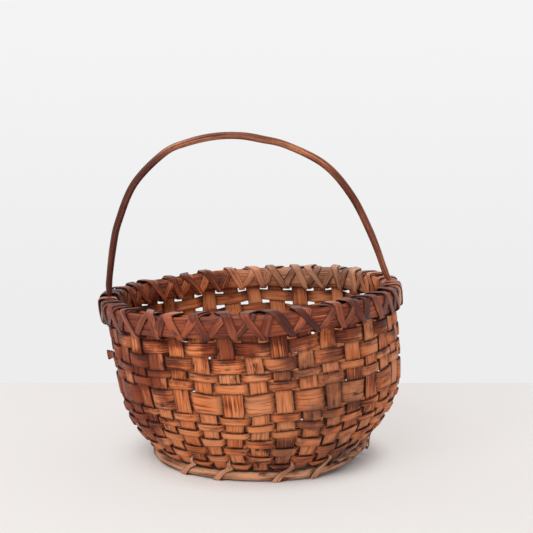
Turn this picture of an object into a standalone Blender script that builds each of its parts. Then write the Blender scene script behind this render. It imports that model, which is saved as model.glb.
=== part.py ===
"""A round berry basket of woven wood splints with a fixed bow handle.

Eighteen long splints are plaited into a flat base and turn up as thirty-six stakes. Twelve rows of
weavers and a hidden rim row go round the stakes, over one and under one. Two hoops clamp the stakes'
tops, two crossed courses of lashing bind the hoops, and the bow handle's thin tails run down inside
two opposite stakes. A foot hoop under the base is held by nine short ties.

Every piece is first laid out on a true round basket that stands at z = 0, and is then moved by
settle(), which gives it the lean, tilt and lifted foot of an old basket. Units are metres, +Z is up,
and the basket's front faces -Y.
"""
import math

import bmesh
import bpy
import numpy as np

# Splints, and how they clear each other
SPLINT_THICKNESS = 0.0009
CLEARANCE = 0.00035
CROSSING_MARGIN = 0.0002

# Base and wall
BASE_RADIUS = 0.0800
RIM_RADIUS = 0.1078
WALL_HEIGHT = 0.1175
WALL_FULLNESS = 4.45
STAKES = 36
FAMILY = 9
BASE_GAP = 0.0019
BASE_CORNER_ROOM = 0.0013
WIDTH_HEIGHT_SHARES = (0.0, 0.08, 0.22, 0.65, 1.0)
WIDTH_FACTORS = (1.0, 1.0, 1.22, 1.27, 1.0)
PROFILE_STEPS = 400

# Weavers, named from the bottom row up
ROW_WIDTH_SHARES = (0.054, 0.081, 0.081, 0.081, 0.060, 0.060, 0.066, 0.174, 0.076, 0.060, 0.103, 0.104)
BENT_ROWS = 8
ROW_GAP = 0.0008
TOP_ROW_GAP = 0.0022
UNDER_RIM_GAP = 0.0012
FIRST_ROW_RISE = 0.0036
LAP_LEAD = 0.0010
LAP_FIRST_STAKE = 5
LAP_STEP = 5

# Rim hoops and the rim row between them
HOOP_HEIGHT = 0.0150
HOOP_OUTER_THICKNESS = 0.0032
HOOP_INNER_THICKNESS = 0.0030
STAKE_DROP = 0.0009
RIM_ROW_FOOT = 0.0015
RIM_ROW_DROP = 0.0030
RIM_ROW_FIRST_STAKE = 9
HOOP_LAP_STATIONS = 4
HOOP_OUTER_FIRST_STAKE = 12
HOOP_INNER_FIRST_STAKE = 30

# Rim lashing
LASH_THICKNESS = 0.0007
LASH_SIDE_ROOM = 0.00065
LASH_CLEARANCE = 0.0006
LAYER_GAP = 0.00045
LASH_TUCK = 0.0012
STATIONS_PER_WRAP = 4

# Handle
TAIL_THICKNESS = 0.0015
TAIL_WIDTH = 0.0090
TAIL_LENGTH = 0.0640
BOW_THICKNESS = 0.0055
BOW_NECK_THICKNESS = 0.0038
BOW_WIDTH = 0.0080
BOW_RISE = 0.1150
BOW_CHAMFER_SHARE = 0.55
BOW_NECK_SHARES = (0.0, 0.06, 0.30)
BOW_SHARES = (
    (-1.000, 0.090), (-0.968, 0.320), (-0.925, 0.485), (-0.811, 0.722), (-0.599, 0.910),
    (-0.434, 0.970), (-0.245, 1.000), (-0.066, 0.996), (0.089, 0.966), (0.274, 0.914),
    (0.538, 0.775), (0.726, 0.567), (0.862, 0.319), (0.968, 0.067),
)
BOW_SAMPLES = 3

# Foot hoop and its ties
FOOT_HOOP_WIDTH = 0.0060
FOOT_HOOP_HEIGHT = 0.0060
FOOT_HOOP_STEPS = 48
FOOT_LAP_STEPS = 3
FOOT_LAP_TURN = 30
FOOT_TIE_GAPS = (-13, -11, -8, -6, -1, 3, 7, 11, 15)
TIE_THICKNESS = 0.0007
TIE_WIDTH = 0.0056
TIE_WALL_WIDTH = 0.0026
TIE_NECK_WIDTH = 0.0017
TIE_INSIDE_GAP = 0.00065
TIE_END_GAP = 0.0005
TIE_SLANT_TURNS = 0.8

# How the old basket stands: what settle() does
LEAN = 0.0090
LEAN_FROM_SHARE = 0.30
LEAN_TO_SHARE = 1.02
DEPTH_SHARE = 0.965
RIM_TILT = 0.055
FOOT_LIFT = 0.0080
LIFT_FROM_SHARE = 0.38
LIFT_TO_SHARE = 1.10
TILT_FROM_SHARE = 0.02
TILT_TO_SHARE = 0.45

# Finishes: colour, roughness
COLOURS = {
    "splint": ((0.42, 0.165, 0.065), 0.62),
    "weaver": ((0.47, 0.185, 0.070), 0.60),
    "hoop": ((0.26, 0.095, 0.050), 0.58),
    "lashing": ((0.30, 0.115, 0.060), 0.50),
    "handle": ((0.24, 0.080, 0.040), 0.48),
    "foot": ((0.36, 0.160, 0.075), 0.62),
}

# Sizes that follow from the ones above
TURN = 2 * math.pi / STAKES
WEAVE_OFFSET = SPLINT_THICKNESS + CLEARANCE
HALF_SPLINT = SPLINT_THICKNESS / 2
BASE_REACH = (BASE_RADIUS - BASE_CORNER_ROOM) / math.sqrt(2)
HALF_FAMILY = FAMILY // 2
STAKE_WIDTH = (BASE_REACH - HALF_FAMILY * BASE_GAP) / (HALF_FAMILY + 0.5)
BASE_PITCH = STAKE_WIDTH + BASE_GAP
HALF_STAKE = STAKE_WIDTH / 2
BASE_HALF_CROSSING = HALF_STAKE + CROSSING_MARGIN
FOOT_HOOP_BOTTOM = TIE_THICKNESS + CLEARANCE
FOOT_HOOP_TOP = FOOT_HOOP_BOTTOM + FOOT_HOOP_HEIGHT
BASE_LEVEL = FOOT_HOOP_TOP + CLEARANCE + HALF_SPLINT + WEAVE_OFFSET
TIE_SLOT = TIE_THICKNESS + 2 * CLEARANCE
LASH_ROOM = 2 * CLEARANCE + 2 * LASH_THICKNESS + LAYER_GAP
HOOP_OUTER_FACE_IN = WEAVE_OFFSET + HALF_SPLINT + CLEARANCE
HOOP_OUTER_FACE_OUT = HOOP_OUTER_FACE_IN + HOOP_OUTER_THICKNESS
TAIL_OFFSET = -(HALF_SPLINT + CLEARANCE + TAIL_THICKNESS / 2)
HOOP_INNER_FACE_OUT = TAIL_OFFSET - TAIL_THICKNESS / 2 - CLEARANCE
HOOP_INNER_FACE_IN = HOOP_INNER_FACE_OUT - HOOP_INNER_THICKNESS
TAIL_CROSSING_OFFSET = TAIL_OFFSET - TAIL_THICKNESS / 2 - CLEARANCE - HALF_SPLINT
HANDLE_STAKES = (0, STAKES // 2)
RIM_ROW = len(ROW_WIDTH_SHARES)


def profile_point(share):
    """The wall's middle surface at a share of its height: radius and height, swelling fast low down."""
    radius = BASE_RADIUS + (RIM_RADIUS - BASE_RADIUS) * (1 - (1 - share) ** WALL_FULLNESS)
    return np.array([radius, BASE_LEVEL + WALL_HEIGHT * share])


PROFILE = np.array([profile_point(share) for share in np.linspace(0, 1, PROFILE_STEPS)])
PROFILE_ARCS = np.concatenate([[0], np.cumsum(np.linalg.norm(np.diff(PROFILE, axis=0), axis=1))])
WALL_ARC = PROFILE_ARCS[-1]
HOOP_TOP = WALL_ARC + STAKE_DROP
HOOP_BOTTOM = HOOP_TOP - HOOP_HEIGHT
TAIL_BOTTOM = HOOP_TOP - TAIL_LENGTH


def row_edges():
    """Each weaver's lower and upper edge, as distances up the wall from the edge of the base."""
    gaps = [TIE_SLOT] + [ROW_GAP] * (RIM_ROW - 3) + [TOP_ROW_GAP]
    span = HOOP_BOTTOM - LASH_ROOM - UNDER_RIM_GAP - FIRST_ROW_RISE - sum(gaps)
    edges = []
    low = FIRST_ROW_RISE
    for share, gap in zip(ROW_WIDTH_SHARES, gaps + [0]):
        high = low + span * share / sum(ROW_WIDTH_SHARES)
        edges.append((low, high))
        low = high + gap
    return edges


ROW_EDGES = row_edges()
ROW_EDGES_WITH_RIM = ROW_EDGES + [(HOOP_BOTTOM + RIM_ROW_FOOT, HOOP_TOP - RIM_ROW_DROP)]


def wall_knots():
    """Where the stakes bend: the base's edge, the gaps over the lower rows, and the stakes' tops."""
    bends = [(ROW_EDGES[row][1] + ROW_EDGES[row + 1][0]) / 2 for row in range(BENT_ROWS)]
    return [0] + bends + [WALL_ARC]


KNOTS = wall_knots()
KNOT_HALF_STAKES = [
    HALF_STAKE * np.interp(knot / WALL_ARC, WIDTH_HEIGHT_SHARES, WIDTH_FACTORS) for knot in KNOTS
]
KNOT_POINTS = np.array([
    [np.interp(knot, PROFILE_ARCS, PROFILE[:, 0]), np.interp(knot, PROFILE_ARCS, PROFILE[:, 1])]
    for knot in KNOTS
])


def half_stake(arc):
    """Half of a stake's width at a distance up the wall: it is widest half way up."""
    return np.interp(arc, KNOTS, KNOT_HALF_STAKES)


def half_crossing(edges):
    """Half of the stretch that a band with two edges runs flat over a stake."""
    return max(half_stake(edge) for edge in edges) + CROSSING_MARGIN


def outward(step):
    """The unit normal to the right of a step in the plane of radius and height."""
    length = math.hypot(step[0], step[1])
    return np.array([step[1], -step[0]]) / length


def mitre(before, after):
    """The vector that moves a corner by one unit off both of the sides that meet there."""
    middle = before + after
    return 2 * middle / middle.dot(middle)


def mitred_normals(points, first_normal=None):
    """One mitred normal for each point of an open path in the plane of radius and height."""
    normals = [outward(b - a) for a, b in zip(points[:-1], points[1:])]
    before = [normals[0] if first_normal is None else first_normal] + normals
    return [mitre(a, b) for a, b in zip(before, normals + [normals[-1]])]


KNOT_NORMALS = mitred_normals(KNOT_POINTS, first_normal=np.array([0, -1]))


def wall_place(arc):
    """The point and the outward normal of the straight stretch of wall at a distance up it."""
    index = min(max(np.searchsorted(KNOTS, arc, side="right") - 1, 0), len(KNOTS) - 2)
    start, end = KNOT_POINTS[index], KNOT_POINTS[index + 1]
    share = (arc - KNOTS[index]) / (KNOTS[index + 1] - KNOTS[index])
    return start + share * (end - start), outward(end - start)


def off_wall(arc, offset):
    """A point off the wall at a distance up it, in the plane of radius and height."""
    place, normal = wall_place(arc)
    return place + normal * offset


def rim_top_height():
    """The height of the top of the lashed rim, where the handle's bow starts."""
    return off_wall(HOOP_TOP + LASH_ROOM, TAIL_OFFSET)[1]


def radial(turn):
    """The outward direction at an angle counted in stakes from +X."""
    return np.array([math.cos(turn * TURN), math.sin(turn * TURN), 0])


def tangent(turn):
    """The direction round the basket at an angle counted in stakes from +X."""
    return np.array([-math.sin(turn * TURN), math.cos(turn * TURN), 0])


def plane_point(turn, place, across=0):
    """A point of the plane of radius and height, at an angle and a distance along the tangent there."""
    return radial(turn) * place[0] + tangent(turn) * across + np.array([0, 0, place[1]])


def stake_point(turn, arc, across, offset):
    """A point beside a stake: up the wall, across the stake's face and off it to the outside."""
    place, normal = wall_place(arc)
    return plane_point(turn, place + normal * offset, across)


def smooth(share):
    """A ramp from 0 to 1 with level ends."""
    share = min(max(share, 0), 1)
    return share * share * (3 - 2 * share)


def ramp(value, start, end):
    """A smooth ramp from 0 at start to 1 at end."""
    return smooth((value - start) / (end - start))


BEND_HEIGHTS = np.append(KNOT_POINTS[:-1, 1], rim_top_height())
BEND_RISES = (BEND_HEIGHTS - BASE_LEVEL) / WALL_HEIGHT
LEANS = [LEAN * (1 - ramp(rise, LEAN_FROM_SHARE, LEAN_TO_SHARE)) for rise in BEND_RISES]
TILTS = [ramp(rise, TILT_FROM_SHARE, TILT_TO_SHARE) for rise in BEND_RISES]


def settle(point):
    """Moves a point of the true round basket to where the old one has it, straight between its bends."""
    x, y, z = point
    lean = np.interp(z, BEND_HEIGHTS, LEANS)
    tilt = np.interp(z, BEND_HEIGHTS, TILTS)
    foot = FOOT_LIFT * ramp(x / BASE_RADIUS, LIFT_FROM_SHARE, LIFT_TO_SHARE)
    return x + lean, y * DEPTH_SHARE, z + (1 - tilt) * foot + tilt * RIM_TILT * x


def material(kind):
    """The finish of one kind of piece, made once."""
    found = bpy.data.materials.get(kind)
    if found:
        return found
    colour, roughness = COLOURS[kind]
    made = bpy.data.materials.new(kind)
    made.use_nodes = True
    shader = made.node_tree.nodes["Principled BSDF"]
    shader.inputs["Base Color"].default_value = (*colour, 1)
    shader.inputs["Roughness"].default_value = roughness
    shader.inputs["Metallic"].default_value = 0
    return made


def skin(name, kind, sections):
    """One closed body through a row of sections, each a ring of as many points, with its ends closed."""
    mesh = bpy.data.meshes.new(name)
    shape = bmesh.new()
    rings = [[shape.verts.new(settle(point)) for point in section] for section in sections]
    count = len(rings[0])
    for ring, following in zip(rings[:-1], rings[1:]):
        for corner in range(count):
            other = (corner + 1) % count
            shape.faces.new((ring[corner], ring[other], following[other], following[corner]))
    shape.faces.new(rings[0])
    shape.faces.new(rings[-1])
    bmesh.ops.recalc_face_normals(shape, faces=shape.faces)
    shape.to_mesh(mesh)
    shape.free()
    piece = bpy.data.objects.new(name, mesh)
    bpy.context.scene.collection.objects.link(piece)
    mesh.materials.append(material(kind))
    return piece


def strip_section(centre, half_width, half_thickness):
    """The four corners of a splint's section, from its middle and two half vectors."""
    return [
        centre - half_width - half_thickness,
        centre + half_width - half_thickness,
        centre + half_width + half_thickness,
        centre - half_width + half_thickness,
    ]


def stake_sections(turn):
    """A stake's sections on the wall, from its top down to the edge of the base."""
    sections = []
    knots = zip(KNOT_POINTS[::-1], KNOT_NORMALS[::-1], KNOT_HALF_STAKES[::-1])
    for place, normal, half_width in knots:
        shift = plane_point(turn, normal * HALF_SPLINT)
        sections.append(strip_section(plane_point(turn, place), tangent(turn) * half_width, shift))
    return sections


def base_sections(number, along, across, waves):
    """A splint's sections across the base, from one side to the other, waving if it is told to."""
    down = np.array([0, 0, -1])
    side = across * number * BASE_PITCH
    level = -down * BASE_LEVEL
    sections = []
    for crossing in range(-HALF_FAMILY, HALF_FAMILY + 1):
        edges = (-1, 1) if waves else (crossing,) if abs(crossing) == HALF_FAMILY else ()
        wave = WEAVE_OFFSET * (-1) ** (number + crossing) if waves else 0
        for edge in edges:
            reach = crossing * BASE_PITCH + math.copysign(BASE_HALF_CROSSING, edge)
            centre = level + down * wave + side + along * reach
            sections.append(strip_section(centre, across * HALF_STAKE, down * HALF_SPLINT))
    return sections


def flipped(sections):
    """The same sections, with each one's two sides changed over."""
    return [[section[1], section[0], section[3], section[2]] for section in sections]


def long_splint(number):
    """A splint along X: down the left wall, plaited through the base and up the right wall."""
    left = flipped(stake_sections(STAKES / 2 - number))
    right = stake_sections(number)[::-1]
    base = base_sections(number, np.array([1, 0, 0]), np.array([0, 1, 0]), waves=True)
    return left + base + right


def cross_splint(number):
    """A splint along Y: down the front wall, flat over the base and up the back wall."""
    front = stake_sections(number - STAKES / 4)
    back = flipped(stake_sections(STAKES / 4 - number)[::-1])
    base = base_sections(number, np.array([0, 1, 0]), np.array([1, 0, 0]), waves=False)
    return front + base + back


def crossing_offset(row, turn):
    """How far a weaver's middle stands off a stake's, outside or inside by turns, clear of a tail."""
    if (row + turn) % 2 == 0:
        return WEAVE_OFFSET
    if turn % STAKES in HANDLE_STAKES and ROW_EDGES_WITH_RIM[row][1] > TAIL_BOTTOM - CLEARANCE:
        return TAIL_CROSSING_OFFSET
    return -WEAVE_OFFSET


def band_section(turn, across, edges, offsets):
    """A section of a flat band on the wall, between two edges and two offsets."""
    low, high = edges
    inner, outer = offsets
    corners = ((low, inner), (low, outer), (high, outer), (high, inner))
    return [stake_point(turn, arc, across, offset) for arc, offset in corners]


def weaver(row):
    """A weaver's sections: once round the stakes, with its end lapped inside its beginning."""
    first = LAP_FIRST_STAKE + LAP_STEP * row
    edges = ROW_EDGES[row]
    reach = half_crossing(edges)
    sections = []
    for step in range(STAKES + 1):
        offset = crossing_offset(row, first + step)
        start, end = -reach, reach
        if step == STAKES:
            offset -= WEAVE_OFFSET
            start -= LAP_LEAD
            end -= CROSSING_MARGIN
        offsets = (offset - HALF_SPLINT, offset + HALF_SPLINT)
        for across in (start, end):
            sections.append(band_section(first + step, across, edges, offsets))
    return sections


def rim_weaver():
    """The last row, hidden between the hoops, whose ends stop on either side of one gap."""
    edges = ROW_EDGES_WITH_RIM[RIM_ROW]
    reach = half_crossing(edges)
    sections = []
    for step in range(STAKES):
        turn = RIM_ROW_FIRST_STAKE + step
        offset = crossing_offset(RIM_ROW, turn)
        offsets = (offset - HALF_SPLINT, offset + HALF_SPLINT)
        for across in (-reach, reach):
            sections.append(band_section(turn, across, edges, offsets))
    return sections


def scarfed(count, lap, inner, outer):
    """Inner and outer faces along a hoop of count steps, halved over a lap at both of its ends."""
    middle = (inner + outer) / 2
    faces = []
    for step in range(count + lap + 1):
        if step <= lap:
            faces.append((middle + CLEARANCE / 2, outer))
        elif step >= count:
            faces.append((inner, middle - CLEARANCE / 2))
        else:
            faces.append((inner, outer))
    return faces


def rim_hoop(first, inner, outer):
    """A rim hoop's sections, flat over each stake, with scarfed ends."""
    edges = (HOOP_BOTTOM, HOOP_TOP)
    reach = half_crossing(edges)
    sections = []
    for step, faces in enumerate(scarfed(2 * STAKES, HOOP_LAP_STATIONS, inner, outer)):
        side = reach if step % 2 else -reach
        sections.append(band_section(first + step // 2, side, edges, faces))
    return sections


def ribbon(stations, thickness):
    """A strip through stations of angle, place and width, whose width lies round the basket."""
    places = [place for _, place, _ in stations]
    sections = []
    for (turn, place, width), normal in zip(stations, mitred_normals(places)):
        shift = plane_point(turn, normal * thickness / 2)
        sections.append(strip_section(plane_point(turn, place), tangent(turn) * width / 2, shift))
    return sections


def lash_width():
    """The lashing's width round the rim: the gap between two stakes, less room on both sides."""
    edge_angle = math.atan(half_stake(HOOP_BOTTOM) / RIM_RADIUS)
    return 2 * (RIM_RADIUS * math.tan(TURN / 2 - edge_angle) - LASH_SIDE_ROOM)


def lashing(layer, half):
    """One of the four lashings: half a turn of the rim, wound right or left, in the first or second layer."""
    grow = LASH_THICKNESS / 2 + layer * (LASH_THICKNESS + LAYER_GAP)
    outside = HOOP_OUTER_FACE_OUT + LASH_CLEARANCE + grow
    inside = HOOP_INNER_FACE_IN - LASH_CLEARANCE - grow
    top = HOOP_TOP + CLEARANCE + grow
    bottom = HOOP_BOTTOM - CLEARANCE - grow
    middle = (top + bottom) / 2
    lean = 0.5 if layer == 0 else -0.5
    stakes = range(half * STAKES // 2, (half + 1) * STAKES // 2)
    order = stakes if layer == 0 else stakes[::-1]
    route = [(order[0] - lean, bottom, LASH_TUCK)]
    for stake in order:
        route.append((stake - lean, bottom, outside))
        over = stake
        if stake % STAKES in HANDLE_STAKES:
            route.append((stake, middle, outside))
            over = stake + lean
        route += [(over, top, outside), (over, top, inside), (stake + lean, bottom, inside)]
    route.append((order[-1] + lean, bottom, -LASH_TUCK))
    stations = [(turn, off_wall(arc, offset), lash_width()) for turn, arc, offset in route]
    return ribbon(stations, LASH_THICKNESS)


def least_wrap_gap(sections):
    """The least distance from a corner of a lashing's section to one of the section a wrap further on."""
    corners = np.array(sections)
    pairs = zip(corners[:-STATIONS_PER_WRAP], corners[STATIONS_PER_WRAP:])
    return min(np.linalg.norm(here[:, None] - ahead[None, :], axis=2).min() for here, ahead in pairs)


def curve_through(points, samples):
    """Points on a smooth curve through the given ones, with so many samples in each stretch."""
    padded = np.vstack([2 * points[0] - points[1], points, 2 * points[-1] - points[-2]])
    curve = []
    for a, b, c, d in zip(padded[:-3], padded[1:-2], padded[2:-1], padded[3:]):
        for step in range(samples):
            t = step / samples
            curve.append((2 * b + (c - a) * t + (2 * a - 5 * b + 4 * c - d) * t * t
                          + (3 * b - a - 3 * c + d) * t ** 3) / 2)
    return curve + [points[-1]]


def rod_section(place, normal, width, thickness):
    """An eight-sided section with cut corners, in the plane of the bow's normal and the depth."""
    centre = np.array([place[0], 0, place[1]])
    out = np.array([normal[0], 0, normal[1]])
    deep = np.array([0, 1, 0])
    cut = BOW_CHAMFER_SHARE * thickness / 2
    half_width, half_thickness = width / 2, thickness / 2
    corners = [
        (half_width, half_thickness - cut), (half_width - cut, half_thickness),
        (cut - half_width, half_thickness), (-half_width, half_thickness - cut),
        (-half_width, cut - half_thickness), (cut - half_width, -half_thickness),
        (half_width - cut, -half_thickness), (half_width, cut - half_thickness),
    ]
    return [centre + deep * across + out * off for across, off in corners]


def tail_places(side):
    """A tail's middle line inside its stake, from its end up to the top of the rim, at one side of X."""
    arcs = [TAIL_BOTTOM] + [knot for knot in KNOTS if TAIL_BOTTOM < knot < WALL_ARC]
    arcs += [HOOP_TOP + LASH_ROOM]
    places = [off_wall(arc, TAIL_OFFSET) for arc in arcs]
    return [np.array([side * place[0], place[1]]) for place in places]


def bow_places(span, foot):
    """The bow's middle line over the basket, from its left foot to its right one."""
    inner = [(span * x_share, foot + BOW_RISE * z_share) for x_share, z_share in BOW_SHARES]
    controls = np.array([(-span, foot)] + inner + [(span, foot)])
    return curve_through(controls, BOW_SAMPLES)


def handle():
    """The handle's sections: up the left tail, over the bow and down the right tail."""
    left, right = tail_places(-1), tail_places(1)
    foot = right[-1][1]
    bow = bow_places(right[-1][0], foot)
    places = left[:-1] + bow + right[:-1][::-1]
    normals = mitred_normals(places)
    sections = []
    for place, normal in zip(places, normals):
        rise = (place[1] - foot) / BOW_RISE
        thickness = np.interp(rise, BOW_NECK_SHARES, (TAIL_THICKNESS, BOW_NECK_THICKNESS, BOW_THICKNESS))
        width = np.interp(rise, BOW_NECK_SHARES, (TAIL_WIDTH, BOW_WIDTH, BOW_WIDTH))
        sections.append(rod_section(place, -normal, width, thickness))
    return sections


def foot_hoop():
    """The foot hoop's sections: a square ring on its ties, with scarfed ends."""
    inner, outer = BASE_RADIUS - FOOT_HOOP_WIDTH / 2, BASE_RADIUS + FOOT_HOOP_WIDTH / 2
    sections = []
    for step, faces in enumerate(scarfed(FOOT_HOOP_STEPS, FOOT_LAP_STEPS, inner, outer)):
        turn = FOOT_LAP_TURN + step * STAKES / FOOT_HOOP_STEPS
        corners = (
            (faces[0], FOOT_HOOP_BOTTOM), (faces[1], FOOT_HOOP_BOTTOM),
            (faces[1], FOOT_HOOP_TOP), (faces[0], FOOT_HOOP_TOP),
        )
        sections.append([plane_point(turn, corner) for corner in corners])
    return sections


def base_gap_turn(gap, radius):
    """The angle of the middle of the gap between two stakes' splints, at a radius inside the base."""
    quarter = STAKES // 4
    side = round((gap + 0.5) / quarter) * quarter
    number = gap + 0.5 - side
    reach = HALF_FAMILY * BASE_PITCH + BASE_HALF_CROSSING
    turned = np.array([reach, number * BASE_PITCH])
    edge = BASE_RADIUS * math.cos(TURN / 2) * np.array([math.cos(number * TURN), math.sin(number * TURN)])
    start, end = np.linalg.norm(turned), np.linalg.norm(edge)
    middle = turned + (edge - turned) * (radius - start) / (end - start)
    return side + math.atan2(middle[1], middle[0]) / TURN


def foot_tie(gap):
    """A tie's sections: down a gap of the base, under the foot hoop, up outside and in over the first row."""
    half = TIE_THICKNESS / 2
    inner = BASE_RADIUS - FOOT_HOOP_WIDTH / 2 - CLEARANCE - half
    outer = BASE_RADIUS + FOOT_HOOP_WIDTH / 2 + CLEARANCE + half
    off_outside = WEAVE_OFFSET + HALF_SPLINT + CLEARANCE + half
    off_inside = -(WEAVE_OFFSET + TIE_INSIDE_GAP + half)
    above_base = BASE_LEVEL - off_inside
    row_low, first_normal = wall_place(ROW_EDGES[0][0])
    slot, slot_normal = KNOT_POINTS[1], KNOT_NORMALS[1]
    edge, edge_normal = KNOT_POINTS[0], KNOT_NORMALS[0]
    neck = base_gap_turn(gap, inner)
    middle = gap + 0.5
    slanted = middle - TIE_SLANT_TURNS
    end = inner + half + TIE_END_GAP
    stations = [
        (neck, np.array([inner, above_base + half]), TIE_NECK_WIDTH),
        (neck, np.array([inner, FOOT_HOOP_TOP]), TIE_NECK_WIDTH),
        (neck, np.array([inner, half]), TIE_NECK_WIDTH),
        (slanted, np.array([outer, half]), TIE_WIDTH),
        (slanted, np.array([outer, FOOT_HOOP_TOP]), TIE_WIDTH),
        (middle, row_low + first_normal * off_outside, TIE_WIDTH),
        (middle, slot + slot_normal * off_outside, TIE_WALL_WIDTH),
        (middle, slot + slot_normal * off_inside, TIE_WALL_WIDTH),
        (middle, edge + edge_normal * off_inside, TIE_NECK_WIDTH),
        (neck, np.array([end, above_base]), TIE_NECK_WIDTH),
    ]
    return ribbon(stations, TIE_THICKNESS)


def centre_on_floor(pieces):
    """Moves every piece by one shift, so that the basket's box is centred over the origin at z = 0."""
    points = np.array([vertex.co for piece in pieces for vertex in piece.data.vertices])
    low, high = points.min(axis=0), points.max(axis=0)
    shift = (-(low[0] + high[0]) / 2, -(low[1] + high[1]) / 2, -low[2])
    for piece in pieces:
        piece.location = shift


def build():
    """Makes every piece of the basket, and prints the lashings' least gap to themselves."""
    pieces = []
    for number in range(-HALF_FAMILY, HALF_FAMILY + 1):
        name = number + HALF_FAMILY + 1
        pieces.append(skin(f"splint_long_{name}", "splint", long_splint(number)))
        pieces.append(skin(f"splint_cross_{name}", "splint", cross_splint(number)))
    for row in range(RIM_ROW):
        pieces.append(skin(f"weaver_{row + 1}", "weaver", weaver(row)))
    pieces.append(skin("rim_row", "weaver", rim_weaver()))
    outer = rim_hoop(HOOP_OUTER_FIRST_STAKE, HOOP_OUTER_FACE_IN, HOOP_OUTER_FACE_OUT)
    inner = rim_hoop(HOOP_INNER_FIRST_STAKE, HOOP_INNER_FACE_IN, HOOP_INNER_FACE_OUT)
    pieces.append(skin("rim_hoop_outer", "hoop", outer))
    pieces.append(skin("rim_hoop_inner", "hoop", inner))
    for layer, lay in enumerate(("under", "over")):
        for half, place in enumerate(("back", "front")):
            sections = lashing(layer, half)
            print("least gap of a lashing to itself", round(least_wrap_gap(sections), 5))
            pieces.append(skin(f"rim_lashing_{lay}_{place}", "lashing", sections))
    pieces.append(skin("handle", "handle", handle()))
    pieces.append(skin("foot_hoop", "foot", foot_hoop()))
    for number, gap in enumerate(FOOT_TIE_GAPS, start=1):
        pieces.append(skin(f"foot_tie_{number}", "foot", foot_tie(gap)))
    centre_on_floor(pieces)


for leftover in list(bpy.data.objects):
    bpy.data.objects.remove(leftover)
build()
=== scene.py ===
"""Dresses the woven splint basket: fine strands for its pieces, aged wood finishes and a pale, soft room."""
import logging
import math
from dataclasses import dataclass, replace
from enum import Enum
from functools import reduce

import bpy
import numpy as np
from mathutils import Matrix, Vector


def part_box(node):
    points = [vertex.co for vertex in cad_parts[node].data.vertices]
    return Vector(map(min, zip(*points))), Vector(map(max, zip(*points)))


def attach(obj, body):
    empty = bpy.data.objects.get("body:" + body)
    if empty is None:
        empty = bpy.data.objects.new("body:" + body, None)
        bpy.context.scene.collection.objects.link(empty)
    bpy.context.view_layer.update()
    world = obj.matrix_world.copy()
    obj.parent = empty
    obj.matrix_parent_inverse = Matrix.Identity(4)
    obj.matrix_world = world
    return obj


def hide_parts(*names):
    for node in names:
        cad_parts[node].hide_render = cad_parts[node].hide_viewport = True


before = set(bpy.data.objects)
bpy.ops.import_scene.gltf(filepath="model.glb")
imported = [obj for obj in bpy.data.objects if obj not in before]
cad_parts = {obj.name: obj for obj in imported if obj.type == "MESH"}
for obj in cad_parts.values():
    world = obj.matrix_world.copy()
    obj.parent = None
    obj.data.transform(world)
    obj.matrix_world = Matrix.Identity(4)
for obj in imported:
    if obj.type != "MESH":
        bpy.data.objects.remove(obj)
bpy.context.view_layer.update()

LOG = logging.getLogger("basket")


class Course(Enum):
    """The two courses of lashing on the rim: wound one way under, the other way over."""

    UNDER = 0
    OVER = 1


class Outline(Enum):
    """The outline of a strand's section."""

    SPLINT = "splint"
    ROD = "rod"


def smooth(share: np.ndarray) -> np.ndarray:
    """Ramps from 0 to 1 with level ends.

    Args:
        share: Values that are held between 0 and 1.

    Returns:
        3 s^2 - 2 s^3 of each.
    """
    share = np.clip(share, 0.0, 1.0)
    return share * share * (3.0 - 2.0 * share)


def wander(along: np.ndarray, seed: int, step: float) -> np.ndarray:
    """A random wander between -1 and 1: seeded values, one at each step, joined by smooth ramps.

    Args:
        along: Where to read it.
        seed: The seed of its values.
        step: The distance between two values.

    Returns:
        The wander at each place.
    """
    place = (np.asarray(along, dtype=float) - np.min(along)) / step
    values = np.random.default_rng(seed).uniform(-1.0, 1.0, int(np.max(place)) + 3)
    index = place.astype(int)
    share = smooth(place - index)
    return values[index] * (1.0 - share) + values[index + 1] * share


def unit(vectors: np.ndarray) -> np.ndarray:
    """Each row at length 1."""
    return vectors / np.linalg.norm(vectors, axis=-1, keepdims=True)


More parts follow.
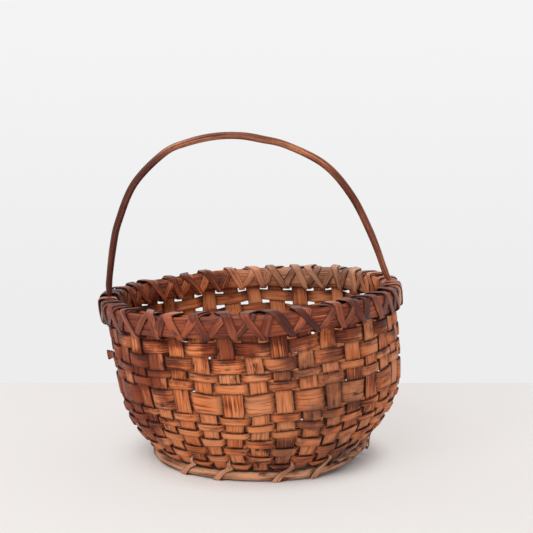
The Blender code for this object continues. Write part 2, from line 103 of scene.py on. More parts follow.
@dataclass
class BasketForm:
    """The shape that all the pieces share, with the sizes of the solids, in metres."""

    base_radius: float = 0.0800
    rim_radius: float = 0.1078
    wall_height: float = 0.1175
    fullness: float = 4.45
    stakes: int = 36
    half_family: int = 4
    base_gap: float = 0.0019
    corner_room: float = 0.0013
    splint: float = 0.0009
    clearance: float = 0.00035
    row_gap: float = 0.0008
    top_row_gap: float = 0.0022
    under_rim_gap: float = 0.0012
    first_row_rise: float = 0.0036
    row_width_shares: tuple = (
        0.054, 0.081, 0.081, 0.081, 0.060, 0.060, 0.066, 0.174, 0.076, 0.060, 0.103, 0.104,
    )
    bent_rows: int = 8
    hoop_height: float = 0.0150
    hoop_outer: float = 0.0032
    hoop_inner: float = 0.0030
    stake_drop: float = 0.0009
    lash: float = 0.0007
    layer_gap: float = 0.00045
    lash_clearance: float = 0.0006
    lash_side_room: float = 0.00065
    tie: float = 0.0007
    foot_width: float = 0.0060
    foot_height: float = 0.0060
    tail: float = 0.0015
    tail_length: float = 0.0640
    lean: float = 0.0090
    lean_shares: tuple = (0.30, 1.02)
    depth_share: float = 0.965
    rim_tilt: float = 0.055
    foot_lift: float = 0.0080
    lift_shares: tuple = (0.38, 1.10)
    tilt_shares: tuple = (0.02, 0.45)
    profile_steps: int = 400
    width_shares: tuple = (0.0, 0.08, 0.22, 0.65, 1.0)
    width_factors: tuple = (1.0, 1.0, 1.26, 1.36, 1.04)
    sway: tuple = ((5, 0.9, 0.3, 0.00080), (9, -1.4, 2.1, 0.00065), (14, 0.6, 4.0, 0.00050))
    heave: tuple = ((3, 0.5, 1.2, 0.00090), (7, -0.8, 0.4, 0.00070), (12, 1.1, 3.3, 0.00050))
    swell: tuple = ((2, 0.4, 2.6, 0.00034), (5, -0.9, 5.0, 0.00026), (9, 1.3, 0.9, 0.00018))
    calm_foot: float = 0.16
    calm_rim: tuple = (0.82, 0.1, 0.55)
    calm_top: tuple = (1.22, 0.16)
    base_shade: tuple = (0.12, 0.45, 0.30)
    covered_share: float = 0.55

    def __post_init__(self) -> None:
        """Works out the sizes that follow from the others."""
        self.turn = 2.0 * math.pi / self.stakes
        self.weave = self.splint + self.clearance
        self.foot_bottom = self.tie + self.clearance
        self.foot_top = self.foot_bottom + self.foot_height
        self.base_level = self.foot_top + self.clearance + self.splint / 2 + self.weave
        reach = (self.base_radius - self.corner_room) / math.sqrt(2.0)
        self.stake_width = (reach - self.half_family * self.base_gap) / (self.half_family + 0.5)
        self.half_stake = self.stake_width / 2
        self.base_pitch = self.stake_width + self.base_gap
        share = np.linspace(0.0, 1.0, self.profile_steps)
        swell = 1.0 - (1.0 - share) ** self.fullness
        self.profile = np.stack([
            self.base_radius + (self.rim_radius - self.base_radius) * swell,
            self.base_level + self.wall_height * share,
        ], axis=1)
        steps = np.diff(self.profile, axis=0)
        self.arcs = np.concatenate([[0.0], np.cumsum(np.linalg.norm(steps, axis=1))])
        slopes = unit(np.gradient(self.profile, self.arcs, axis=0))
        self.normals = np.stack([slopes[:, 1], -slopes[:, 0]], axis=1)
        self.wall_arc = float(self.arcs[-1])
        self.hoop_top = self.wall_arc + self.stake_drop
        self.hoop_bottom = self.hoop_top - self.hoop_height
        self.tail_bottom = self.hoop_top - self.tail_length
        self.lash_room = 2 * self.clearance + 2 * self.lash + self.layer_gap
        self.tail_offset = -(self.splint / 2 + self.clearance + self.tail / 2)
        outer_in = self.weave + self.splint / 2 + self.clearance
        self.outer_faces = (outer_in, outer_in + self.hoop_outer)
        inner_out = self.tail_offset - self.tail / 2 - self.clearance
        self.inner_faces = (inner_out - self.hoop_inner, inner_out)
        self.row_edges = self.rows()
        edges = self.row_edges
        self.knots = [0.0] + [(edges[row][1] + edges[row + 1][0]) / 2 for row in range(self.bent_rows)]
        heights = [float(np.interp(knot, self.arcs, self.profile[:, 1])) for knot in self.knots]
        highest = self.base_level + self.wall_height + self.stake_drop + self.lash_room
        self.bend_heights = np.array(heights + [highest])
        rises = (self.bend_heights - self.base_level) / self.wall_height
        start, end = self.lean_shares
        self.leans = self.lean * (1.0 - smooth((rises - start) / (end - start)))
        start, end = self.tilt_shares
        self.tilts = smooth((rises - start) / (end - start))
        low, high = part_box("foot_hoop")
        self.shift = (low[0] + high[0]) / 2 - self.lean

    def rows(self) -> list:
        """Each weaver's lower and upper edge, measured up the wall from the edge of the base.

        Returns:
            Pairs of distances, with the hidden rim row's left out.
        """
        count = len(self.row_width_shares)
        gaps = [self.tie + 2 * self.clearance] + [self.row_gap] * (count - 3) + [self.top_row_gap]
        span = self.hoop_bottom - self.lash_room - self.under_rim_gap - self.first_row_rise - sum(gaps)
        edges = []
        low = self.first_row_rise
        for share, gap in zip(self.row_width_shares, gaps + [0.0]):
            high = low + span * share / sum(self.row_width_shares)
            edges.append((low, high))
            low = high + gap
        return edges

    def half_width(self, arc: np.ndarray) -> np.ndarray:
        """Half of a stake's width at distances up the wall."""
        rise = np.asarray(arc) / self.wall_arc
        return self.half_stake * np.interp(rise, self.width_shares, self.width_factors)

    def inner_dark(self, covered: np.ndarray, arc: float | np.ndarray) -> np.ndarray:
        """The painted shade on a piece's inner face: a share of where it is covered, or the shade near the
        base.

        Args:
            covered: How much the pieces that cross it cover it.
            arc: Its distance up the wall.

        Returns:
            The larger of the two.
        """
        most, start, fade = self.base_shade
        near_base = most * (1.0 - smooth((arc / self.wall_arc - start) / fade))
        return np.maximum(self.covered_share * covered, near_base)

    def lap_faces(self, turn: np.ndarray, lap: float, taper: float, faces: tuple, middle: float) -> tuple:
        """The faces of a hoop that laps itself: each end is halved in thickness, so that both fit.

        Args:
            turn: Angles in stakes, from its start to its end.
            lap: How far its ends lie side by side, in stakes.
            taper: How far an end takes to thin down, in stakes.
            faces: The inner and outer face of the whole hoop.
            middle: Where the two halves part.

        Returns:
            The inner and the outer face at each angle.
        """
        inner, outer = faces
        past = turn - turn[0]
        start = 1.0 - smooth((past - lap) / taper)
        end = smooth((past - self.stakes + taper) / taper)
        slit = self.clearance / 2
        return inner + (middle + slit - inner) * start, outer + (middle - slit - outer) * end

    def handmade(self, points: np.ndarray) -> np.ndarray:
        """Bends the true wall a little, the same for every piece at a place, so that none meets another.

        Each of sway (round the basket), heave (up) and swell (outward) is a sum of sines
        size * sin(count * angle + turns * 2 pi * rise + start), faded out at the base and above the rim.

        Args:
            points: Points on the round basket, any shape with 3 last.

        Returns:
            The bent points.
        """
        angle = np.arctan2(points[..., 1], points[..., 0])
        rise = (points[..., 2] - self.base_level) / self.wall_height
        rim, rim_fade, rim_share = self.calm_rim
        top, top_fade = self.calm_top
        fade = smooth(rise / self.calm_foot) * (1.0 - rim_share * smooth((rise - rim) / rim_fade))
        fade = fade * smooth((top - rise) / top_fade)

        def waves(sines: tuple) -> np.ndarray:
            """The faded sum of the sines at every point.

            Args:
                sines: Count, turns, start and size of each.

            Returns:
                The distance that each point moves.
            """
            return fade * sum(
                size * np.sin(count * angle + turns * 2 * np.pi * rise + start)
                for count, turns, start, size in sines
            )

        sway, swell = waves(self.sway), waves(self.swell)
        moved = points.copy()
        moved[..., 0] += swell * np.cos(angle) - sway * np.sin(angle)
        moved[..., 1] += swell * np.sin(angle) + sway * np.cos(angle)
        moved[..., 2] += waves(self.heave)
        return moved

    def settle(self, points: np.ndarray) -> np.ndarray:
        """Moves points of the true round basket to the old one, which leans, tilts and lifts its foot.

        Args:
            points: Points on the round basket, any shape with 3 last.

        Returns:
            The same points on the old basket, in the frame's place.
        """
        points = self.handmade(points)
        x, y, z = points[..., 0], points[..., 1], points[..., 2]
        lean = np.interp(z, self.bend_heights, self.leans)
        tilt = np.interp(z, self.bend_heights, self.tilts)
        start, end = self.lift_shares
        foot = self.foot_lift * smooth((x / self.base_radius - start) / (end - start))
        height = z + (1.0 - tilt) * foot + tilt * self.rim_tilt * x
        return np.stack([x + lean + self.shift, y * self.depth_share, height], axis=-1)

    def radial(self, turn: np.ndarray) -> np.ndarray:
        """The outward direction at angles counted in stakes from +X."""
        angle = np.asarray(turn, dtype=float) * self.turn
        return np.stack([np.cos(angle), np.sin(angle), np.zeros_like(angle)], axis=-1)

    def tangent(self, turn: np.ndarray) -> np.ndarray:
        """The direction round the basket at angles counted in stakes from +X."""
        angle = np.asarray(turn, dtype=float) * self.turn
        return np.stack([-np.sin(angle), np.cos(angle), np.zeros_like(angle)], axis=-1)

    def at(self, turn: np.ndarray, radial: float | np.ndarray, up: float | np.ndarray) -> np.ndarray:
        """Points or vectors with a radial part and an upward part.

        Args:
            turn: Angles in stakes.
            radial: The part outwards.
            up: The part upwards.

        Returns:
            One row for each angle.
        """
        vectors = self.radial(turn) * np.asarray(radial)[..., None]
        vectors[..., 2] = up
        return vectors

    def wall(self, arc: np.ndarray) -> tuple:
        """The wall's radius, height and outward normal at distances up it, going straight on past the top.

        Args:
            arc: Distances up the wall.

        Returns:
            Radius, height, and the normal's radial and upward parts.
        """
        arc = np.asarray(arc, dtype=float)
        past = np.maximum(arc - self.wall_arc, 0.0)
        radius = np.interp(arc, self.arcs, self.profile[:, 0])
        height = np.interp(arc, self.arcs, self.profile[:, 1]) + past
        out = np.interp(arc, self.arcs, self.normals[:, 0])
        up = np.interp(arc, self.arcs, self.normals[:, 1])
        return radius, height, out, up

    def raw(self, turn: np.ndarray, arc: np.ndarray, offset: np.ndarray) -> np.ndarray:
        """Points of the true round basket: a place on its wall, plus the offset along the wall's normal.

        Args:
            turn: Angles in stakes.
            arc: Distances up the wall.
            offset: Distances off the wall, outside positive.

        Returns:
            The points, before they settle.
        """
        radius, height, out, up = self.wall(arc)
        return self.at(turn, radius + out * offset, height + up * offset)


@dataclass
class Strand:
    """A strip or rod: a line of centres with half vectors for its width and its thickness.

    A point of its surface is the centre, plus the width's half vector times c, plus the thickness's half
    vector times h, plus the sag times c squared, where (c, h) runs round the section's outline.
    """

    centre: np.ndarray
    wide: np.ndarray
    thick: np.ndarray
    sag: np.ndarray | None = None
    # hidden and hidden_inside hold painted shade beside crossings, on the outer and the inner face.
    hidden: np.ndarray | None = None
    hidden_inside: np.ndarray | None = None
    soot: np.ndarray | None = None
    outline: Outline = Outline.SPLINT
    crown: float = 0.25
    seed: int = 0
    rough: float = 0.022
    power: float = 0.62
    tone: float | np.ndarray = 0.5
    long_wave: float = 0.006
    short_wave: float = 0.0017
    grain_shift: tuple = (0.731, 0.317)
    tone_drift: float = 0.16
    tone_wave: float = 0.019

    def section(self) -> tuple:
        """The section's outline: sixteen points round a rod, or a splint's crowned face, sides and back.

        Returns:
            The width shares, the thickness shares, and how near each point is to an edge.
        """
        if self.outline is Outline.ROD:
            angle = np.linspace(0.0, 2.0 * np.pi, 16, endpoint=False)
            c = np.sign(np.cos(angle)) * np.abs(np.cos(angle)) ** self.power
            h = np.sign(np.sin(angle)) * np.abs(np.sin(angle)) ** self.power
            return c, h, np.abs(c * h) ** 3
        face = np.array([-0.975, -0.92, -0.5, 0.0, 0.5, 0.92, 0.975])
        c = np.concatenate([face, [1.0], face[::-1], [-1.0]])
        under = np.array([0.72, 1.0, 1.0, 1.0, 1.0, 1.0, 0.72])
        h = np.concatenate([under + self.crown * (1.0 - face ** 2), [0.0], -under, [0.0]])
        return c, h, np.tile([1.0, 0.3, 0.0, 0.0, 0.0, 0.3, 1.0, 1.0], 2)

    def distances(self) -> np.ndarray:
        """How far along the strand each centre lies."""
        steps = np.linalg.norm(np.diff(self.centre, axis=0), axis=1)
        return np.concatenate([[0.0], np.cumsum(steps)])

    def edge(self, along: np.ndarray, seed: int) -> np.ndarray:
        """One edge's share of the half width: 1 less its roughness, in long waves with short ones on them."""
        long, short = wander(along, seed, self.long_wave), wander(along, seed + 7, self.short_wave)
        return 1.0 - self.rough * (1.0 + long) - self.rough / 2 * short

    def points(self) -> np.ndarray:
        """The surface's points, with a seeded unevenness of both edges.

        Returns:
            An array of stations along the strand by places round its section.
        """
        c, h, _ = self.section()
        along = self.distances()
        left, right = self.edge(along, self.seed), self.edge(along, self.seed + 1)
        side = np.where(c[None, :] < 0, left[:, None], right[:, None]) * c[None, :]
        points = self.centre[:, None, :] + self.wide[:, None, :] * side[..., None]
        points = points + self.thick[:, None, :] * h[None, :, None]
        if self.sag is not None:
            points = points + self.sag[:, None, :] * (side ** 2)[..., None]
        return points

    def mesh(self, name: str, form: BasketForm) -> bpy.types.Object:
        """Builds the strand as one closed mesh with its grain's UV map and its shading attributes.

        Args:
            name: The object's name.
            form: The basket, which settles the points.

        Returns:
            The new object, at the origin.
        """
        c, h, near = self.section()
        points = form.settle(self.points())
        count, ring = points.shape[:2]
        number = np.arange(count * ring).reshape(count, ring)
        ahead = np.roll(number, -1, axis=1)
        quads = np.stack([number[:-1], ahead[:-1], ahead[1:], number[1:]], axis=-1).reshape(-1, 4)
        flat = points.reshape(-1, 3)
        first, second, third, fourth = np.moveaxis(flat[quads], 1, 0)
        volume = (first * (np.cross(second, third) + np.cross(third, fourth))).sum()
        caps = [number[0][::-1].tolist(), number[-1].tolist()]
        if volume < 0:
            quads = quads[:, ::-1]
            caps = [cap[::-1] for cap in caps]
        mesh = bpy.data.meshes.new(name)
        mesh.from_pydata(flat.tolist(), [], quads.tolist() + caps)
        along = self.distances()
        shift_u, shift_v = self.grain_shift
        u = np.broadcast_to(along[:, None], (count, ring)) + shift_u * self.seed
        v = c[None, :] * np.linalg.norm(self.wide, axis=1)[:, None] + shift_v * self.seed
        if self.outline is Outline.ROD:
            v = v + h[None, :] * np.linalg.norm(self.thick, axis=1)[:, None]
        uv = np.stack([u, v], axis=-1).reshape(-1, 2)
        corner = np.empty(len(mesh.loops), dtype=np.int32)
        mesh.loops.foreach_get("vertex_index", corner)
        mesh.uv_layers.new(name="grain").data.foreach_set("uv", uv[corner].ravel().astype(np.float32))
        hidden = np.zeros(count) if self.hidden is None else self.hidden
        inside = hidden if self.hidden_inside is None else self.hidden_inside
        soot = np.zeros(count) if self.soot is None else self.soot
        drift = self.tone + self.tone_drift * wander(along, self.seed + 3, self.tone_wave)
        values = {
            "edge": np.broadcast_to(near[None, :], (count, ring)),
            "hidden": np.where(h[None, :] > 0, hidden[:, None], inside[:, None]),
            "tone": np.broadcast_to(drift[:, None], (count, ring)),
            "soot": np.outer(soot, smooth((c + 0.45) / 1.3)),
        }
        for key, value in values.items():
            attribute = mesh.attributes.new(key, "FLOAT", "POINT")
            attribute.data.foreach_set("value", value.ravel().astype(np.float32))
        mesh.shade_smooth()
        mesh.set_sharp_from_angle(angle=math.radians(50.0))
        piece = bpy.data.objects.new(name, mesh)
        bpy.context.scene.collection.objects.link(piece)
        LOG.info("%s: %d faces", name, len(mesh.polygons))
        return piece


@dataclass
class Nodes:
    """A short hand for a material's node tree."""

    tree: bpy.types.NodeTree

    def add(self, kind: str, **settings: object) -> bpy.types.Node:
        """Adds a node and sets its properties.

        Args:
            kind: The node's type.
            settings: Its properties.

        Returns:
            The node.
        """
        node = self.tree.nodes.new(kind)
        for key, value in settings.items():
            setattr(node, key, value)
        return node

    def feed(self, socket: bpy.types.NodeSocket, value: object) -> None:
        """Links an output to a socket, or sets the socket to a value.

        Args:
            socket: The input.
            value: An output, a number or a colour.
        """
        if isinstance(value, bpy.types.NodeSocket):
            self.tree.links.new(value, socket)
        else:
            socket.default_value = value

    def math(
        self, operation: str, first: object, second: object, clamp: bool = False
    ) -> bpy.types.NodeSocket:
        """One arithmetic step.

        Args:
            operation: What it does.
            first: The first output or number.
            second: The second one.
            clamp: Whether the result is held between 0 and 1.

        Returns:
            The result.
        """
        node = self.add("ShaderNodeMath", operation=operation, use_clamp=clamp)
        self.feed(node.inputs[0], first)
        self.feed(node.inputs[1], second)
        return node.outputs[0]

    def times(self, *factors: object) -> bpy.types.NodeSocket:
        """The product of outputs and numbers."""
        return reduce(lambda first, second: self.math("MULTIPLY", first, second), factors)

    def plus(self, *terms: object) -> bpy.types.NodeSocket:
        """The sum of outputs and numbers."""
        return reduce(lambda first, second: self.math("ADD", first, second), terms)

    def span(
        self, value: object, low: float, high: float, start: float = 0.0, end: float = 1.0
    ) -> bpy.types.NodeSocket:
        """Maps a band of a pattern smoothly onto another.

        Args:
            value: The pattern.
            low: Where the band starts.
            high: Where it ends.
            start: What it gives at low.
            end: What it gives at high.

        Returns:
            The new value.
        """
        node = self.add("ShaderNodeMapRange", interpolation_type="SMOOTHSTEP")
        for socket, number in zip(node.inputs, (value, low, high, start, end)):
            self.feed(socket, number)
        return node.outputs[0]

    def mix(self, share: object, first: object, second: object, blend: str = "MIX") -> bpy.types.NodeSocket:
        """Mixes two colours.

        Args:
            share: The second colour's share.
            first: The first colour.
            second: The second colour.
            blend: How the second one goes over the first.

        Returns:
            The colour.
        """
        node = self.add("ShaderNodeMix", data_type="RGBA", blend_type=blend)
        self.feed(node.inputs[0], share)
        self.feed(node.inputs[6], first)
        self.feed(node.inputs[7], second)
        return node.outputs[2]

    def ramp(self, value: object, stops: tuple, colours: tuple) -> bpy.types.NodeSocket:
        """A colour ramp with a colour at each stop.

        Args:
            value: The pattern that reads it.
            stops: Where the colours stand.
            colours: The colours.

        Returns:
            The colour.
        """
        node = self.add("ShaderNodeValToRGB")
        elements = node.color_ramp.elements
        while len(elements) < len(stops):
            elements.new(0.5)
        for element, place, colour in zip(elements, stops, colours):
            element.position = place
            element.color = (*colour, 1.0)
        self.feed(node.inputs[0], value)
        return node.outputs[0]

    def noise(
        self, vector: object, scale: float | tuple, detail: float, rough: float
    ) -> bpy.types.NodeSocket:
        """A noise pattern's value.

        Args:
            vector: Where to read it.
            scale: One scale, or three that stretch the pattern.
            detail: Octaves.
            rough: How much each octave adds.

        Returns:
            The value.
        """
        if isinstance(scale, tuple):
            mapping = self.add("ShaderNodeMapping")
            self.feed(mapping.inputs[0], vector)
            mapping.inputs[3].default_value = scale
            vector, scale = mapping.outputs[0], 1.0
        node = self.add("ShaderNodeTexNoise")
        self.feed(node.inputs["Vector"], vector)
        node.inputs["Scale"].default_value = scale
        node.inputs["Detail"].default_value = detail
        node.inputs["Roughness"].default_value = rough
        return node.outputs[0]

    def place(self) -> tuple:
        """The place on the object, in metres.

        Returns:
            The whole vector, and its x, y and z.
        """
        where = self.add("ShaderNodeTexCoord").outputs["Object"]
        split = self.add("ShaderNodeSeparateXYZ")
        self.feed(split.inputs[0], where)
        return where, tuple(split.outputs)

    def attribute(self, name: str) -> bpy.types.NodeSocket:
        """A mesh attribute's value."""
        return self.add("ShaderNodeAttribute", attribute_name=name).outputs["Fac"]


@dataclass(frozen=True)
class WoodFinish:
    """Aged splint or rod: streaky grain, dark edges, blotchy dirt with painted shade under the rim and at the
    left, and a tan at the back right that is partly painted light.

    A zone is two places on an axis, in metres, between which an effect comes in. A band is the same for a
    pattern's value.
    """

    name: str
    light: tuple = (0.65, 0.243, 0.104)
    mid: tuple = (0.610, 0.166, 0.051)
    dark: tuple = (0.110, 0.020, 0.008)
    # This colour serves the stain spots, the dark edges and the painted shade beside crossings.
    stain_and_shade: tuple = (0.027, 0.0075, 0.006)
    bloom: tuple = (0.18, 0.062, 0.038)
    # This tint colours blotchy dirt and also the painted shade under the rim and at the left.
    dirt_and_shade: tuple = (0.34, 0.190, 0.155)
    bruise: tuple = (0.105, 0.040, 0.028)
    soot: tuple = (0.080, 0.021, 0.015)
    # A tan laid at the back right: partly the wood's greyed colour, partly painted light that brightens the
    # back wall and rim.
    pale: tuple = (0.54, 0.275, 0.160)
    pale_dark: tuple = (0.085, 0.033, 0.018)
    grain_scale: tuple = (24.0, 1300.0, 1.0)
    broad_scale: tuple = (26.0, 430.0, 1.0)
    crack_scale: tuple = (38.0, 820.0, 1.0)
    spot_scale: tuple = (62.0, 210.0, 1.0)
    blotch_scale: float = 38.0
    dust_scale: float = 60.0
    broad_part: float = 0.26
    tone_part: float = 0.55
    grain_stops: tuple = (0.335, 0.445, 0.59)
    tan_band: tuple = (0.35, 0.58)
    crack_band: tuple = (0.58, 0.66)
    crack_share: float = 0.50
    stain_and_shade_share: float = 0.95
    bloom_share: float = 0.15
    bruise_share: float = 0.0
    pale_share: float = 0.0
    right_dark: float = 0.35
    back_dark: float = 0.12
    left_dark: float = 1.12
    rim_dark: float = 0.90
    dirt_and_shade_parts: tuple = (0.48, 1.70, 0.80)
    dirt_and_shade_band: tuple = (0.92, 1.24)
    high_zone: tuple = (0.090, 0.111)
    left_zone: tuple = (-0.040, -0.092)
    front_zone: tuple = (0.010, -0.060)
    right_fade_zone: tuple = (0.020, 0.095)
    spared_zone: tuple = (0.084, 0.100)
    spared_share: float = 0.4
    tan_zones: tuple = ((-0.055, 0.045), (0.020, 0.065))
    bruise_zones: tuple = ((0.009, 0.025), (0.094, 0.066), (0.116, 0.094))
    spot_bands: tuple = ((0.54, 0.68), (0.44, 0.58))
    dust_band: tuple = (0.44, 0.66)
    bruise_band: tuple = (0.38, 0.56)
    soot_band: tuple = (0.68, 1.12)
    crossing_shade_bands: tuple = ((0.35, 0.60), (0.25, 0.60))
    crossing_shade_shares: tuple = ((0.60, 1.0), (0.8, 1.1))
    roughness: float = 0.47
    rough_band: tuple = (0.3, 0.8)
    gloss: float = 0.13
    relief: float = 0.00035
    relief_strength: float = 0.75

    def make(self) -> bpy.types.Material:
        """Builds the material: the grain's patterns drive its colour, its roughness and its relief.

        Returns:
            The material.
        """
        material = bpy.data.materials.new(self.name)
        material.use_nodes = True
        nodes = Nodes(material.node_tree)
        shader = material.node_tree.nodes["Principled BSDF"]
        grain = nodes.add("ShaderNodeUVMap", uv_map="grain").outputs[0]
        fine = nodes.noise(grain, self.grain_scale, 5.0, 0.68)
        broad = nodes.noise(grain, self.broad_scale, 3.0, 0.5)
        crack = nodes.span(nodes.noise(grain, self.crack_scale, 2.0, 0.4), *self.crack_band)
        patch = nodes.noise(grain, self.spot_scale, 3.0, 0.5)
        tone = nodes.math("SUBTRACT", nodes.attribute("tone"), 0.5)
        streak = nodes.plus(
            nodes.times(fine, 1.0 - self.broad_part), nodes.times(broad, self.broad_part),
            nodes.times(tone, self.tone_part),
        )
        wood = nodes.ramp(streak, self.grain_stops, (self.dark, self.mid, self.light))
        wood = nodes.mix(nodes.times(crack, self.crack_share), wood, (*self.dark, 1.0))
        tan = nodes.mix(nodes.span(streak, *self.tan_band), (*self.pale_dark, 1.0), (*self.pale, 1.0))
        aged = self.aged(nodes, wood, tan, fine, broad, patch)
        nodes.feed(shader.inputs["Base Color"], self.edges_and_crossing_shade(nodes, aged, fine, patch))
        rough = nodes.span(streak, *self.rough_band, self.roughness + 0.10, self.roughness - 0.08)
        nodes.feed(shader.inputs["Roughness"], rough)
        shader.inputs["Specular IOR Level"].default_value = self.gloss
        bump = nodes.add("ShaderNodeBump")
        bump.inputs["Strength"].default_value = self.relief_strength
        bump.inputs["Distance"].default_value = self.relief
        height = nodes.math("SUBTRACT", nodes.plus(fine, nodes.times(broad, 1.4)), crack)
        nodes.feed(bump.inputs["Height"], height)
        nodes.feed(shader.inputs["Normal"], bump.outputs[0])
        return material

    def rim_and_left_shade(self, nodes: Nodes, x: object, z: object, front: object) -> bpy.types.NodeSocket:
        """Where shade is painted: under the rim in front, less at the right, and over all of the left.

        Args:
            nodes: The material's nodes.
            x: The place to the right.
            z: The height.
            front: The share of the front.

        Returns:
            0 for no painted shade to about 1.
        """
        high = nodes.span(z, *self.high_zone)
        spared = nodes.times(front, nodes.span(z, *self.spared_zone, 0.0, self.spared_share))
        left = nodes.times(nodes.span(x, *self.left_zone), nodes.math("SUBTRACT", 1.0, spared))
        right_fade = nodes.span(x, *self.right_fade_zone, 1.0, self.right_dark)
        under_rim = nodes.times(high, nodes.plus(front, self.back_dark), right_fade)
        return nodes.math("MAXIMUM", under_rim, nodes.times(left, self.left_dark))

    def aged(
        self, nodes: Nodes, wood: object, tan: object, fine: object, broad: object, patch: object
    ) -> bpy.types.NodeSocket:
        """Lays dirt mixed with painted shade, spots, a greyed tan that is partly painted light, dust, bruises
        and soot over the wood, in that order.

        Args:
            nodes: The material's nodes.
            wood: The grain's colour.
            tan: The pale tan laid at the back right: partly the wood's own greyed colour, partly painted
                light.
            fine: The fine grain.
            broad: The broad grain.
            patch: The pattern of the spots.

        Returns:
            The colour.
        """
        where, (x, y, z) = nodes.place()
        blotch = nodes.noise(where, self.blotch_scale, 4.0, 0.6)
        front = nodes.span(y, *self.front_zone)
        # Painted shade under the rim and at the left, mixed with blotchy dirt and the grain, tints the wood
        # below.
        by_shade, by_blotch, by_grain = self.dirt_and_shade_parts
        dirt_and_shade = nodes.plus(nodes.times(self.rim_and_left_shade(nodes, x, z, front), by_shade), nodes.times(blotch, by_blotch))
        dirt_and_shade = nodes.math("SUBTRACT", dirt_and_shade, nodes.times(nodes.math("SUBTRACT", fine, 0.5), by_grain))
        dirt_and_shade = nodes.span(dirt_and_shade, *self.dirt_and_shade_band, 0.0, self.stain_and_shade_share)
        colour = nodes.mix(dirt_and_shade, wood, (*self.dirt_and_shade, 1.0), "MULTIPLY")
        by_patch, by_dirt = self.spot_bands
        spots = nodes.times(nodes.span(patch, *by_patch), nodes.span(blotch, *by_dirt))
        colour = nodes.mix(nodes.times(spots, 0.8 * self.stain_and_shade_share + 0.2), colour, (*self.stain_and_shade, 1.0))
        # Painted light in part: this tan brightens the back wall's inside and the back rim, as well as
        # greying them.
        right, back = self.tan_zones
        pale_and_lit = nodes.times(nodes.span(x, *right), nodes.span(y, *back), self.pale_share)
        colour = nodes.mix(pale_and_lit, colour, tan)
        dust = nodes.span(nodes.noise(where, self.dust_scale, 4.0, 0.6), *self.dust_band)
        dust = nodes.times(dust, nodes.span(z, *self.high_zone), self.bloom_share)
        colour = nodes.mix(dust, colour, (*self.bloom, 1.0))
        from_left, from_right, below = self.bruise_zones
        bruised = nodes.times(
            nodes.span(x, *from_left), nodes.span(x, *from_right), front, nodes.span(z, *below),
            nodes.span(blotch, *self.bruise_band, 0.15, 1.0), self.bruise_share,
        )
        colour = nodes.mix(bruised, colour, (*self.bruise, 1.0))
        cover = nodes.times(nodes.attribute("soot"), nodes.span(nodes.plus(blotch, broad), *self.soot_band))
        return nodes.mix(cover, colour, (*self.soot, 1.0))

    def edges_and_crossing_shade(self, nodes: Nodes, colour: object, fine: object, patch: object) -> bpy.types.NodeSocket:
        """Darkens the edges, and paints shade at the places beside a crossing, raggedly along the grain.

        Args:
            nodes: The material's nodes.
            colour: The colour so far.
            fine: The fine grain.
            patch: The pattern of the spots.

        Returns:
            The colour.
        """
        (by_patch, by_grain), (patch_share, grain_share) = self.crossing_shade_bands, self.crossing_shade_shares
        edge_and_shade = nodes.times(nodes.attribute("hidden"), nodes.span(patch, *by_patch, *patch_share))
        edge_and_shade = nodes.times(nodes.math("MAXIMUM", nodes.attribute("edge"), edge_and_shade), self.rim_dark)
        ragged = nodes.math("MULTIPLY", edge_and_shade, nodes.span(fine, *by_grain, *grain_share), clamp=True)
        return nodes.mix(ragged, colour, (*self.stain_and_shade, 1.0))


STAKE_WOOD = WoodFinish(
    "stake_wood", pale=(0.74, 0.285, 0.125), pale_dark=(0.17, 0.050, 0.022), pale_share=0.6, bruise_share=0.7,
)
WEAVER_WOOD = replace(STAKE_WOOD, name="weaver_wood")
HOOP_WOOD = WoodFinish(
    "hoop_wood", light=(0.86, 0.280, 0.098), mid=(0.39, 0.080, 0.021), bloom_share=0.05, stain_and_shade_share=0.75,
    right_dark=0.8, roughness=0.38, gloss=0.30, pale_share=0.8,
)
LASHING_WOOD = WoodFinish(
    "lashing_wood", light=(0.80, 0.245, 0.090), mid=(0.285, 0.055, 0.016), bloom_share=0.08, stain_and_shade_share=0.8,
    right_dark=0.8, roughness=0.34, gloss=0.34, pale_share=0.85,
)
HANDLE_WOOD = WoodFinish(
    "handle_wood", light=(0.54, 0.205, 0.100), mid=(0.22, 0.064, 0.029), bloom_share=0.0, stain_and_shade_share=0.5,
    grain_scale=(11.0, 800.0, 1.0), roughness=0.38, gloss=0.32, rim_dark=0.3,
)
FOOT_WOOD = WoodFinish("foot_wood", light=(0.66, 0.335, 0.190), mid=(0.39, 0.172, 0.094), rim_dark=0.7)


def dress(piece: bpy.types.Object, material: bpy.types.Material, slot: str, *nodes: str) -> None:
    """Gives a piece its finish and its body, and hides the CAD nodes that it stands for.

    Args:
        piece: The finished object.
        material: Its finish.
        slot: Not used.
        nodes: The CAD nodes that it replaces.
    """
    piece.data.materials.append(material)
    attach(piece, "root")
    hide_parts(*nodes)


